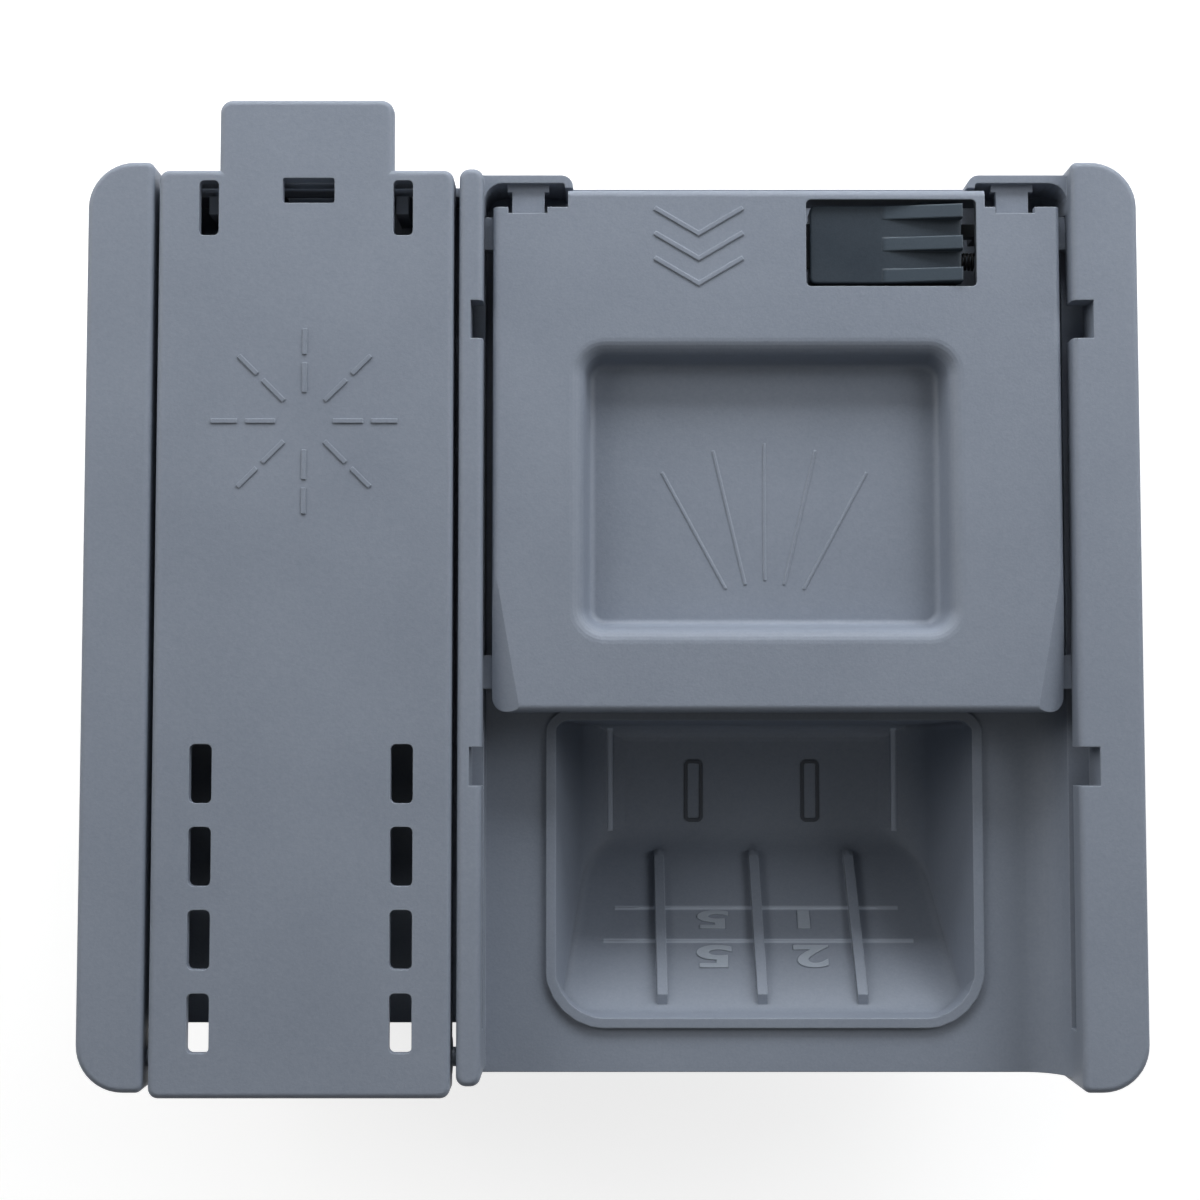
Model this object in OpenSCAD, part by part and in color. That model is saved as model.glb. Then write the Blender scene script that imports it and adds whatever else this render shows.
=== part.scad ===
// Dishwasher dispenser for detergent and rinse aid.
// It lies on its back, with its front face up: +X is the right side of the face,
// +Y is its upper end as it sits on a closed door, and +Z points out of the face.

/* [Body] */
// Width over both cheeks
body_w = 170; // [164:1:182]
// Height from the cover's hinged end to its lift tab
body_h = 160.2; // [156:0.2:172]
// Depth from the rear covers to the cheeks' faces
body_d = 54; // [52:1:60]
// How far the bezel stands proud of the door's inner panel
bezel_d = 17; // [16:0.5:19]
// Wall of the front moulding
wall = 2; // [1.6:0.1:2.2]
// Width of each cheek
cheek_w = 10.7; // [9.5:0.1:12.5]
// Radius of the cheeks' outer corners
cheek_r = 7.5; // [5:0.5:8.5]
// Radius rolled over the front edges
edge_r = 1; // [0.5:0.1:1.2]
// Width of the rail between the two bays
rail_w = 3.9; // [3.9:0.1:5]
// Depth of the bays' floor below the cheeks' faces
floor_drop = 13.2; // [13:0.1:14.2]
// Radius of the hollow where the floor meets the right cheek
floor_fillet = 7; // [4:0.5:7.5]

/* [Rinse aid cover] */
// Width of the hinged cover
cover_w = 47.7; // [45:0.1:52]
// Gap on each side of the cover
cover_gap = 0.9; // [0.6:0.1:1.2]
// Skin of the cover
cover_t = 2; // [1.6:0.1:2.4]
// Height of the cover's side skirts
cover_skirt = 6; // [5:0.1:6.6]
// How far the cover stands proud of the cheeks
cover_proud = 0.4; // [0:0.1:1]
// How far the hinged end hangs past the cheeks
cover_overhang = 0.8; // [0:0.1:1.5]
// Width of the lift tab
tab_w = 28.2; // [22:0.1:30]
// How far the lift tab stands above the cheeks
tab_reach = 10.1; // [7:0.1:13]
// Radius of the hinge pins
hinge_pin_r = 1.55; // [1.3:0.05:1.8]
// Running clearance round pins and shafts
pin_play = 0.05; // [0.03:0.01:0.09]
// Width of each drain slot
drain_w = 3.6; // [3:0.1:4.6]
// Length of each drain slot
drain_h = 9.4; // [7:0.1:10.5]
// Spacing of the drain slots
drain_pitch = 13.1; // [12:0.1:14]
// Distance between the two columns of drain slots
drain_spread = 32; // [28:0.5:36]
// Radius of the star's outer dashes
star_r = 15; // [12:0.5:17]

/* [Lid] */
// Gap on each side of the lid
lid_gap = 1.5; // [1.1:0.1:1.8]
// Length of the lid along its slide
lid_h = 85; // [83:0.5:86]
// Skin of the lid
lid_t = 1.8; // [1.5:0.1:2]
// Height of the lid's side skirts
lid_skirt = 6; // [5.5:0.1:6.2]
// How far the lid's face lies below the cheeks
lid_drop = 1.6; // [1.2:0.1:1.8]
// How far the lid slides
lid_travel = 54.5; // [54:0.1:55]
// Radius of the drum that shapes the drooping lower corners
droop_r = 92; // [80:2:120]
// How far up the lid's sides its lower corners start to droop
droop_len = 26.5; // [15:0.5:35]
// Width of the recess's floor
recess_w = 57.3; // [50:0.1:58]
// Length of the recess's floor
recess_h = 42.9; // [38:0.1:44]
// Depth of the recess
recess_d = 6.4; // [5:0.1:6.5]
// Length of the guide lugs along the slide
lug_h = 5.4; // [4:0.1:5.6]
// Height of the grooves that the lugs run in
groove_h = 3; // [2.6:0.1:3.2]

/* [Latch button] */
// Width of the button's window
window_w = 27.7; // [26:0.1:28]
// Height of the button's window
window_h = 14.3; // [13:0.1:15]
// How far the button slides to free the lid
button_travel = 1.6; // [1.5:0.1:1.8]
// Height of the grip ribs at their tall end
grip_h = 2.8; // [2:0.1:3]
// Width of a grip rib
grip_w = 2.1; // [1.6:0.1:2.4]

/* [Cup] */
// Outer width of the cup's rim
cup_w = 72.3; // [68:0.1:73]
// Outer height of the cup's rim
cup_h = 52.1; // [48:0.1:52.6]
// Wall of the cup
cup_wall = 1.6; // [1.4:0.1:1.8]
// Depth of the cup below its rim
cup_d = 28.9; // [26:0.1:30]
// How far the rim stands above the floor
rim_h = 0.9; // [0.6:0.1:1]
// Slope of the cup's ramp in degrees
ramp_angle = 41.7; // [38:0.1:45]
// Width of each slide rib on the ramp
rib_w = 1.7; // [1.2:0.1:2.2]
// Spacing of the slide ribs
rib_pitch = 16.7; // [14:0.1:17]

/* [Mechanism] */
// Length of the pawl's arm from the rocker's axis
pawl_arm = 14.5; // [13:0.5:15]
// Length of the rocker's drive arms
drive_arm = 14; // [13:0.5:15]
// Angle that the rocker turns to drop its pawl
rocker_angle = 11; // [11:0.5:12]
// Radius of the solenoid's plunger
plunger_r = 4.4; // [4:0.1:4.8]
// Outer diameter of the lid's springs
lid_spring_d = 4.6; // [4:0.1:4.6]
// Wire of the lid's springs
spring_wire = 0.8; // [0.7:0.1:0.9]
// Outer radius of the filler neck
neck_r = 17; // [15:0.5:18]
// Radius of the dosing dial
dial_r = 10.8; // [9:0.1:12]

/* [Hidden] */
$fn = 48;

grey = [0.45, 0.48, 0.53];
slate = [0.16, 0.2, 0.25];
rubber = [0.12, 0.12, 0.13];
natural = [0.85, 0.85, 0.82];
steel = [0.7, 0.71, 0.73];
copper = [0.72, 0.42, 0.22];
brass = [0.78, 0.64, 0.33];

gap = 0.3;                                  // running gap between moving faces
cut = 1;                                    // how far cutters run past what they cut
x_right = body_w / 2;
x_left = -x_right;
y_top = body_h / 2 - tab_reach;
y_bot = -body_h / 2 + cover_overhang;
z_face = body_d;
z_seat = z_face - bezel_d;
z_floor = z_face - floor_drop;
z_under = z_floor - wall;

// The two bays, from left to right
bay_x0 = x_left + cheek_w;
bay_x1 = bay_x0 + cover_w + 2 * cover_gap;
track_x0 = bay_x1 + rail_w;
track_x1 = x_right - cheek_w;
track_xc = (track_x0 + track_x1) / 2;
bay_xc = (bay_x0 + bay_x1) / 2;
cheek_in_r = 1.2;
bay_y0 = y_bot + 9.3;
bay_y1 = y_top - 2.8;
floor_y0 = y_bot + 1.25;
floor_y1 = y_top - 1.5;
brim_t = 1.3;

// The lid at rest, pushed up by its springs
lid_x0 = track_x0 + lid_gap;
lid_x1 = track_x1 - lid_gap;
lid_y1 = y_top - 4.2;
lid_y0 = lid_y1 - lid_h;
z_lid = z_face - lid_drop;
z_lid_in = z_lid - lid_t;
z_skirt = z_lid - lid_skirt;
skirt_t = 1.6;
droop_slope = 0.095;
recess_x = track_xc - 1.7;
recess_y = lid_y1 - 49.2;
z_recess = z_lid - recess_d;
z_recess_in = z_recess - lid_t;
notch_y = lid_y1 - 2.9;
notch_xl = lid_x0 + 12.2;
notch_xr = lid_x1 - 12.2;

// Lugs and the grooves they run in
groove_z = z_skirt;
groove_dl = 2;
groove_dr = 3.4;
lug_y = [lid_y1 - 6.5, lid_y1 - 78.5];
lug_entry = 15.15;

// Springs along the lid's margins, and what holds their ends
anchor_xl = track_x0 + 7.15;
anchor_xr = track_x1 - 8.75;
anchor_y = floor_y1 - 7;
hook_y = anchor_y - 49;
spring_r = (lid_spring_d - spring_wire) / 2;
z_spring = z_lid_in - 3.4;
peg_r = 1.1;
tongue_t = 1.6;
z_tongue = z_lid_in - 0.8;

// Button and its window, at the lid's upper right
window_xc = lid_x1 - 27.45;
window_yc = lid_y1 - 8.8;
button_w = window_w - 3.1;
button_h = window_h - 1.6;
button_x0 = window_xc - window_w / 2 + 0.8;
button_x1 = button_x0 + button_w;
z_button = z_lid_in - 0.4;
grip_pitch = (button_h - grip_w) / 2 - 0.1;
z_button_in = z_button - 3.4;
flange_t = 1.2;
flange_w = 1.4;
flange_l = button_travel + 0.6;
z_flange = z_lid_in - gap - flange_t;
guide_y = window_h / 2 + 1.6;
guide_t = 1.2;
stop_x = window_xc + window_w / 2 + 0.6;

// Cup
cup_xc = track_xc - 1.6;
cup_y1 = lid_y0 + 0.4;
cup_y0 = cup_y1 - cup_h;
z_rim = z_floor + rim_h;
z_cup = z_rim - cup_d;
cup_draft = 5.2;
bead_x = cup_w / 2 - cup_wall - cup_draft - 4.05;
bead_h = 0.9;
bead_w = 1.5;
bead_r = 0.3;
cup_in_r = 8.5;

// Plate and seal under the lid, which close on the rim
seal_t = 0.8;
z_seal = z_rim + gap;
plate_x0 = cup_xc - cup_w / 2;
plate_x1 = cup_xc + cup_w / 2;
plate_y0 = cup_y0 + lid_travel;
plate_y1 = cup_y1 + lid_travel;
seal_w = 3.2;
seal_groove = 0.7;

// Hinge of the rinse-aid cover
cover_x0 = bay_x0 + cover_gap;
cover_x1 = bay_x1 - cover_gap;
cover_y1 = y_top - 1.45;
cover_y0 = -body_h / 2;
z_cover = z_face + cover_proud;
z_cover_in = z_cover - cover_t;
ear_r = hinge_pin_r + 1.6;
hinge_y = y_bot + 5.1;
hinge_z = z_cover_in - ear_r;
hinge_bore_d = 2.3;
hinge_bore_r = hinge_pin_r + pin_play;

// Filler neck and dial in the left bay
fill_y = 25;
dial_y = -16;
neck_h = 7.8;
neck_t = 2;
z_neck = z_floor + neck_h;
fill_r = neck_r - neck_t;
plug_stem_r = 5;
dial_shaft_r = 3;
dial_well_r = dial_r + 0.6;

// Latch hook of the cover, under its window
catch_x = bay_xc + 0.4;
catch_w = 8.4;
catch_y = bay_y1 - 1.5;

// Gasket round the flange, and the lip of the chassis inside it
gasket_w = 4;
lip_out = 0.2;
lip_t = 1.2;
gasket_t = z_under - z_seat + 0.8;

// Reservoir behind the left bay
tub_x0 = bay_x0 + 0.7 + gasket_w + lip_out + lip_t + gap;
tub_x1 = bay_x1 - 2.2;
tub_y0 = bay_y0 + 8;
tub_y1 = bay_y1 - 1.9 - gasket_w - lip_out - lip_t - gap;
tub_t = 1.8;

// Actuator box behind the right bay
box_x0 = bay_x1 + 2.8;
box_x1 = track_x1 - 4.8;
box_y0 = cup_y1 + 4;
box_y1 = bay_y1 - 6.4;
box_t = 1.8;
z_back = 2;
screw_r = 1.5;
boss_r = 3.6;

// Rocker, solenoid and dosing valve
rocker_y = 16;
rocker_z = z_under - 3.8;
rocker_shaft_r = 2.2;
journal_r = 1.7;
pawl_x = plate_x1 + 0.7;
pawl_w = 2.3;
pawl_y0 = rocker_y - pawl_arm - 2;
pawl_h = 4;
z_pawl = z_floor + 3.6;
drive_x = 45.5;
dose_x = box_x0 + 8;
drive_end_r = 1.8;
z_drive = rocker_z - drive_arm;
solenoid_y0 = rocker_y + 6;
solenoid_l = 30;

// Unit vector along v
function unit(v) = v / norm(v);

// Arc that rounds corner b, a point [x, y, radius], between its neighbours a and c
function corner_arc(a, b, c, n) =
    b[2] == 0 ? [[b[0], b[1]]] :
    let (
        p = [b[0], b[1]],
        u = unit([a[0] - b[0], a[1] - b[1]]),
        v = unit([c[0] - b[0], c[1] - b[1]]),
        half = acos(u * v) / 2,
        centre = p + unit(u + v) * b[2] / sin(half),
        s = p + u * b[2] / tan(half) - centre,
        e = p + v * b[2] / tan(half) - centre,
        a0 = atan2(s[1], s[0]),
        turn = atan2(e[1], e[0]) - a0,
        sweep = turn > 180 ? turn - 360 : turn < -180 ? turn + 360 : turn
    )
    [for (i = [0:n]) centre + b[2] * [cos(a0 + sweep * i / n), sin(a0 + sweep * i / n)]];

// Outline of points [x, y, radius] with every corner rounded to its own radius
function rounded(pts, n = 6) =
    let (k = len(pts))
    [for (i = [0:k - 1]) each corner_arc(pts[(i + k - 1) % k], pts[i], pts[(i + 1) % k], n)];

// The same outline moved outwards by g on every side; pts run anticlockwise
function grown(pts, g) =
    let (k = len(pts))
    [for (i = [0:k - 1])
        let (
            a = pts[(i + k - 1) % k], b = pts[i], c = pts[(i + 1) % k],
            d1 = unit([b[0] - a[0], b[1] - a[1]]),
            d2 = unit([c[0] - b[0], c[1] - b[1]]),
            n1 = [d1[1], -d1[0]],
            n2 = [d2[1], -d2[0]],
            turn = d1[0] * d2[1] - d1[1] * d2[0],
            m = (n1 + n2) / (1 + n1 * n2),
            r = b[2] == 0 ? 0 : max(0.1, b[2] + (turn > 0 ? g : -g))
        )
        [b[0] + g * m[0], b[1] + g * m[1], r]];

// Anticlockwise rectangle with corner radius r
function box_outline(x0, y0, x1, y1, r) = [[x0, y0, r], [x1, y0, r], [x1, y1, r], [x0, y1, r]];

// Rounded prism over an outline, from z0 to z1
module prism(pts, z0, z1) {
    translate([0, 0, z0]) linear_extrude(z1 - z0) polygon(rounded(pts));
}

// Profile in Y and Z, extruded along X from x0 to x1
module along_x(pts, x0, x1) {
    translate([x0, 0, 0]) rotate([90, 0, 90]) linear_extrude(x1 - x0) polygon(rounded(pts));
}

// Profile in X and Z, extruded along Y from y0 to y1
module along_y(pts, y0, y1, n = 6) {
    translate([0, y1, 0]) rotate([90, 0, 0]) linear_extrude(y1 - y0) polygon(rounded(pts, n));
}

// Block between two corners
module block(x0, y0, z0, x1, y1, z1) {
    translate([x0, y0, z0]) cube([x1 - x0, y1 - y0, z1 - z0]);
}

// Section of a rim strip r deep and t high, with its outer top edge rolled to radius e
module edge_section(r, t, e) {
    square([r, t - e]);
    if (r > e) square([r - e, t]);
    intersection() {
        translate([r - e, t - e]) circle(e);
        square([r, t]);
    }
}

// Plate with its own radius at each corner (from +x+y, anticlockwise) and a rolled top edge
module soft_plate(x0, y0, x1, y1, radii, t, e) {
    w = x1 - x0;
    h = y1 - y0;
    translate([(x0 + x1) / 2, (y0 + y1) / 2, 0]) {
        for (i = [0:3])
            translate([[1, -1, -1, 1][i] * (w / 2 - radii[i]), [1, 1, -1, -1][i] * (h / 2 - radii[i]), 0])
                rotate([0, 0, 90 * i]) rotate_extrude(angle = 90) edge_section(radii[i], t, e);
        translate([w / 2 - e, h / 2 - radii[0], 0]) rotate([90, 0, 0])
            linear_extrude(h - radii[0] - radii[3]) edge_section(e, t, e);
        mirror([1, 0, 0]) translate([w / 2 - e, h / 2 - radii[1], 0]) rotate([90, 0, 0])
            linear_extrude(h - radii[1] - radii[2]) edge_section(e, t, e);
        translate([-w / 2 + radii[1], h / 2 - e, 0]) rotate([90, 0, 90])
            linear_extrude(w - radii[0] - radii[1]) edge_section(e, t, e);
        mirror([0, 1, 0]) translate([-w / 2 + radii[2], h / 2 - e, 0]) rotate([90, 0, 90])
            linear_extrude(w - radii[2] - radii[3]) edge_section(e, t, e);
        linear_extrude(t) polygon([for (i = [0:3])
            let (sx = [1, -1, -1, 1][i], sy = [1, 1, -1, -1][i], r = radii[i],
                 p = [sx * (w / 2 - e), sy * (h / 2 - r)],
                 c = [sx * (w / 2 - r), sy * (h / 2 - r)],
                 q = [sx * (w / 2 - r), sy * (h / 2 - e)])
            each (i % 2 == 0 ? [p, c, q] : [q, c, p])]);
    }
}

// Solid swept round a rectangle of corner centres: section is its [r, z] outline from the centres
module swept_tub(x0, y0, x1, y1, section) {
    pts = rounded([for (p = section) [max(0, p[0]), p[1], p[2]]]);
    zs = [for (p = pts) p[1]];
    for (c = [[x1, y1, 0], [x0, y1, 90], [x0, y0, 180], [x1, y0, 270]])
        translate([c[0], c[1], 0]) rotate([0, 0, c[2]]) rotate_extrude(angle = 90) polygon(pts);
    translate([x1, y1, 0]) rotate([90, 0, 0]) linear_extrude(y1 - y0) polygon(pts);
    translate([x0, y0, 0]) rotate([90, 0, 180]) linear_extrude(y1 - y0) polygon(pts);
    translate([x0, y1, 0]) rotate([90, 0, 90]) linear_extrude(x1 - x0) polygon(pts);
    translate([x1, y0, 0]) rotate([90, 0, -90]) linear_extrude(x1 - x0) polygon(pts);
    block(x0, y0, min(zs), x1, y1, max(zs));
}

// Wire wound round the Z axis from z = 0, as a swept tube
module helix_wire(r, pitch, turns, wire_r, steps = 14, sides = 6) {
    n = ceil(turns * steps);
    points = [for (i = [0:n], k = [0:sides - 1])
        let (a = 360 * i / steps, b = 360 * k / sides)
        [(r + wire_r * cos(b)) * cos(a), (r + wire_r * cos(b)) * sin(a), pitch * i / steps + wire_r * sin(b)]];
    faces = concat(
        [[for (k = [0:sides - 1]) k]],
        [for (i = [0:n - 1], k = [0:sides - 1])
            let (a = i * sides + k, b = i * sides + (k + 1) % sides)
            [a, a + sides, b + sides, b]],
        [[for (k = [sides - 1:-1:0]) n * sides + k]]);
    polyhedron(points, faces);
}

// Close-wound coil round the Z axis from z = 0 to z = len, with a scalloped skin
module close_coil(r, wire_r, len) {
    turns = floor(len / (2 * wire_r));
    pitch = len / turns;
    rotate_extrude() polygon(concat(
        [for (i = [0:turns - 1], k = [0:3])
            [r + wire_r * [0.35, 0.95, 0.95, 0.35][k], pitch * (i + [0, 0.28, 0.72, 1][k])
                + (k == 0 && i > 0 ? 0.02 : 0)]],
        [[r - wire_r * 0.8, len], [r - wire_r * 0.8, 0]]));
}

// Cheek bar, hollow from behind; side is -1 on the left and 1 on the right
module cheek(side) {
    x0 = side < 0 ? x_left : track_x1;
    x1 = side < 0 ? bay_x0 : x_right;
    radii = side < 0 ? [cheek_in_r, cheek_r, cheek_r, cheek_in_r] : [cheek_r, cheek_in_r, cheek_in_r, cheek_r];
    hollow_x0 = side < 0 ? x_left + wall : track_x1 + groove_dr + 1.4;
    hollow_x1 = side < 0 ? bay_x0 - wall : x_right - wall;
    r = min(cheek_r - wall, hollow_x1 - hollow_x0 - 1);
    difference() {
        translate([0, 0, z_seat]) soft_plate(x0, y_bot, x1, y_top, radii, bezel_d, edge_r);
        prism([[hollow_x0, y_bot + wall, side < 0 ? r : 0.5], [hollow_x1, y_bot + wall, side < 0 ? 0.5 : r],
            [hollow_x1, y_top - wall, side < 0 ? 0.5 : r], [hollow_x0, y_top - wall, side < 0 ? r : 0.5]],
            z_seat - cut, z_face - wall);
    }
}

// The cup's inside, or with g its outside
module cup_form(g, z_end) {
    half_top = cup_w / 2 - cup_wall;
    half_bot = half_top - cup_draft;
    y0 = cup_y0 + cup_wall;
    y1 = cup_y1 - cup_wall;
    z_top = z_rim + cut;
    ramp_run = (z_rim - 4.5 - z_cup) / tan(ramp_angle);
    across = [[cup_xc - half_top, z_top, 0], [cup_xc - half_bot, z_cup, 8],
        [cup_xc + half_bot, z_cup, 8], [cup_xc + half_top, z_top, 0]];
    down = [[y0, z_top, 0], [y0 + 0.5, z_rim - 4.5, 3], [y0 + 0.5 + ramp_run, z_cup, 6],
        [y1 - 0.8, z_cup, 3], [y1, z_top, 0]];
    plan = [[cup_xc - half_top, y0, cup_in_r], [cup_xc + half_top, y0, cup_in_r],
        [cup_xc + half_top, y1, 2.5], [cup_xc - half_top, y1, 2.5]];
    intersection() {
        along_y(grown(across, g), y0 - 5, y1 + 5);
        along_x(grown(down, g), cup_xc - cup_w, cup_xc + cup_w);
        prism(grown(plan, g), -cut, z_end);
    }
}

// Ramp of the cup as an origin, a unit vector up the slope and one into the cup
ramp_foot = [cup_y0 + cup_wall + 0.5 + (z_rim - 4.5 - z_cup) / tan(ramp_angle), z_cup];
ramp_u = [-cos(ramp_angle), sin(ramp_angle)];
ramp_n = [sin(ramp_angle), cos(ramp_angle)];
ramp_len = (z_rim - 4.5 - z_cup) / sin(ramp_angle);

// Strip that lies on the ramp between distances a and b up the slope, h thick
module on_ramp(x0, x1, a, b, h) {
    p = ramp_foot + ramp_u * a;
    q = ramp_foot + ramp_u * b;
    along_x([[q[0] - ramp_n[0] * 0.6, q[1] - ramp_n[1] * 0.6, 0], [p[0] - ramp_n[0] * 0.6, p[1] - ramp_n[1] * 0.6, 0],
        [p[0] + (ramp_n[0] + ramp_u[0]) * h, p[1] + (ramp_n[1] + ramp_u[1]) * h, 0],
        [q[0] + (ramp_n[0] - ramp_u[0]) * h, q[1] + (ramp_n[1] - ramp_u[1]) * h, 0]], x0, x1);
}

// Slide ribs, graduation lines, and on the deep floor two beads and two framed pads
module cup_details() {
    for (k = [-1:1])
        on_ramp(cup_xc + k * rib_pitch - rib_w / 2, cup_xc + k * rib_pitch + rib_w / 2, 2.2, ramp_len - 1, 1.5);
    on_ramp(cup_xc - 24.5, cup_xc + 24.5, ramp_len * 0.41, ramp_len * 0.41 + 0.5, 0.2);
    on_ramp(cup_xc - 26.5, cup_xc + 26.5, ramp_len * 0.6, ramp_len * 0.6 + 0.5, 0.2);
    for (x = [cup_xc - bead_x, cup_xc + bead_x])
        along_y([[x - bead_w / 2, z_cup - 0.6, 0], [x + bead_w / 2, z_cup - 0.6, 0],
            [x + bead_w / 2 - bead_r, z_cup + bead_h, bead_r], [x - bead_w / 2 + bead_r, z_cup + bead_h, bead_r]],
            cup_y1 - 21.2, cup_y1 - 3);
    for (k = [-1, 1]) difference() {
        prism(box_outline(cup_xc + k * 10.4 - 1.65, cup_y1 - 19.6, cup_xc + k * 10.4 + 1.65, cup_y1 - 8.6, 0.8),
            z_cup - 1, z_cup + 0.2);
        prism(box_outline(cup_xc + k * 10.4 - 1.05, cup_y1 - 19, cup_xc + k * 10.4 + 1.05, cup_y1 - 9.2, 0.5),
            z_cup - 0.7, z_cup + cut);
    }
}

// Outline of the bay walls that the gasket follows, inset by i
function seat_outline(i) =
    let (
        x0 = bay_x0 + 0.7 + i, x1 = bay_x1 + 2 + i, x2 = track_x1 - 0.7 - i,
        y0 = floor_y0 + 2 + i, y1 = bay_y0 + 2 + i, y2 = bay_y1 - 1.9 - i,
        r = max(0.6, 4.6 - i)
    )
    [[x0, y1, r], [x1, y1, 0.5 + i], [x1, y0, r], [x2, y0, r], [x2, y2, r], [x0, y2, r]];

// Floor plates of both bays with the walls that close their ends
module bay_floors() {
    block(bay_x0 - 1, bay_y0, z_under, bay_x1 + 1, bay_y1, z_floor);
    block(bay_x0 - 1, bay_y0, z_seat, bay_x1 + 1, bay_y0 + 1.5, z_floor);
    block(bay_x1, floor_y0, z_seat, bay_x1 + 1.5, bay_y0 + 1.5, z_floor - 0.5);
    block(bay_x1 + 0.5, bay_y1 - 1.5, z_seat, track_x0 + 0.5, floor_y1, z_floor - 0.5);
    block(bay_x0 - 1, bay_y1 - 1.5, z_seat, bay_x1 + 1, bay_y1, z_cover - cover_skirt - 0.6);
    block(track_x0 - 1, floor_y0, z_under, track_x1 + 1, floor_y1, z_floor);
    block(track_x0 - 1, floor_y0, z_seat, track_x1 + 1, floor_y0 + 1.5, z_floor);
    block(track_x0 - 1, floor_y1 - brim_t, z_seat, track_x1 + 1, floor_y1, z_floor + 1.2);
    along_y([[track_x1 - floor_fillet, z_floor - 0.5, 0], [track_x1 + 0.5, z_floor - 0.5, 0],
        [track_x1 + 0.5, z_floor + floor_fillet, 0], [track_x1, z_floor + floor_fillet, 0],
        [track_x1, z_floor, floor_fillet - 0.1], [track_x1 - floor_fillet, z_floor, 0]],
        floor_y0, floor_y1 - brim_t / 2, 12);
}

// Corner brackets of the upper wall: a filleted root on the rail or cheek and a rounded return
module brackets() {
    z_bracket = z_face - 3;
    w_left = 14.5;
    w_right = 16.3;
    root = 3.2;
    y_in = floor_y1 - brim_t;
    y_end = lid_y1 + 0.6;
    tip = floor_y1 - y_end - 0.2;
    xl = track_x0 + w_left;
    xr = track_x1 - w_right;
    prism([[track_x0 - 0.7, y_in - root, 0], [track_x0, y_in - root, 0], [track_x0, y_in, root - 0.2],
        [xl - brim_t, y_in, 0.5], [xl - brim_t, y_end, 0], [xl, y_end, 0], [xl, floor_y1, tip],
        [track_x0 - 0.7, floor_y1, 0]], z_floor - 0.7, z_bracket);
    prism([[track_x1 + 0.7, y_in - root, 0], [track_x1 + 0.7, floor_y1, 0], [xr, floor_y1, tip], [xr, y_end, 0],
        [xr + brim_t, y_end, 0], [xr + brim_t, y_in, 0.5], [track_x1, y_in, root - 0.2],
        [track_x1, y_in - root, 0]], z_floor - 0.7, z_bracket);
}

// T-shaped tongue that stands out from the upper wall and holds a spring's end on its peg
module spring_anchor(x) {
    block(x - 3.4, floor_y1 - brim_t - 1.2, z_tongue - tongue_t, x + 3.4, floor_y1 - brim_t + 0.2, z_tongue);
    block(x - 2.65, anchor_y - 1.3, z_tongue - tongue_t, x + 2.65, floor_y1 - brim_t - 1, z_tongue);
    translate([x, anchor_y, z_spring - 1.6]) cylinder(r = peg_r, h = z_tongue - z_spring + 1);
}

// Grooves along the rail and the right cheek, with the notches that let the lugs in
module lug_grooves() {
    y0 = lug_y[1] - lid_travel - lug_h / 2 - gap;
    y1 = lug_y[0] + lug_h / 2 + gap;
    block(track_x0 - groove_dl, y0, groove_z, track_x0 + cut, y1, groove_z + groove_h);
    block(track_x1 - cut, y0, groove_z, track_x1 + groove_dr, y1, groove_z + groove_h);
    for (y = lug_y) {
        block(track_x0 - groove_dl, y - lug_entry - lug_h / 2 - 0.4, groove_z, track_x0 + cut,
            y - lug_entry + lug_h / 2 + 0.4, z_face + cut);
        block(track_x1 - cut, y - lug_entry - lug_h / 2 - 0.4, groove_z, track_x1 + groove_dr,
            y - lug_entry + lug_h / 2 + 0.4, z_face + cut);
    }
}

// Walls of the actuator box behind the right bay, with bosses for the rear cover's screws
module actuator_box() {
    difference() {
        prism(box_outline(box_x0, box_y0, box_x1, box_y1, 4), z_back, z_under + 0.5);
        prism(box_outline(box_x0 + box_t, box_y0 + box_t, box_x1 - box_t, box_y1 - box_t, 2.2),
            z_back - cut, z_under);
    }
    for (p = screw_points()) difference() {
        translate([p[0], p[1], z_back]) cylinder(r = boss_r, h = 12);
        translate([p[0], p[1], z_back - cut]) cylinder(r = screw_r - 0.2, h = 9 + cut);
    }
}

// Where the four screws of the rear cover go
function screw_points() = [for (x = [box_x0 + 4.4, box_x1 - 4.4], y = [box_y0 + 4.4, box_y1 - 4.4]) [x, y]];

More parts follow.
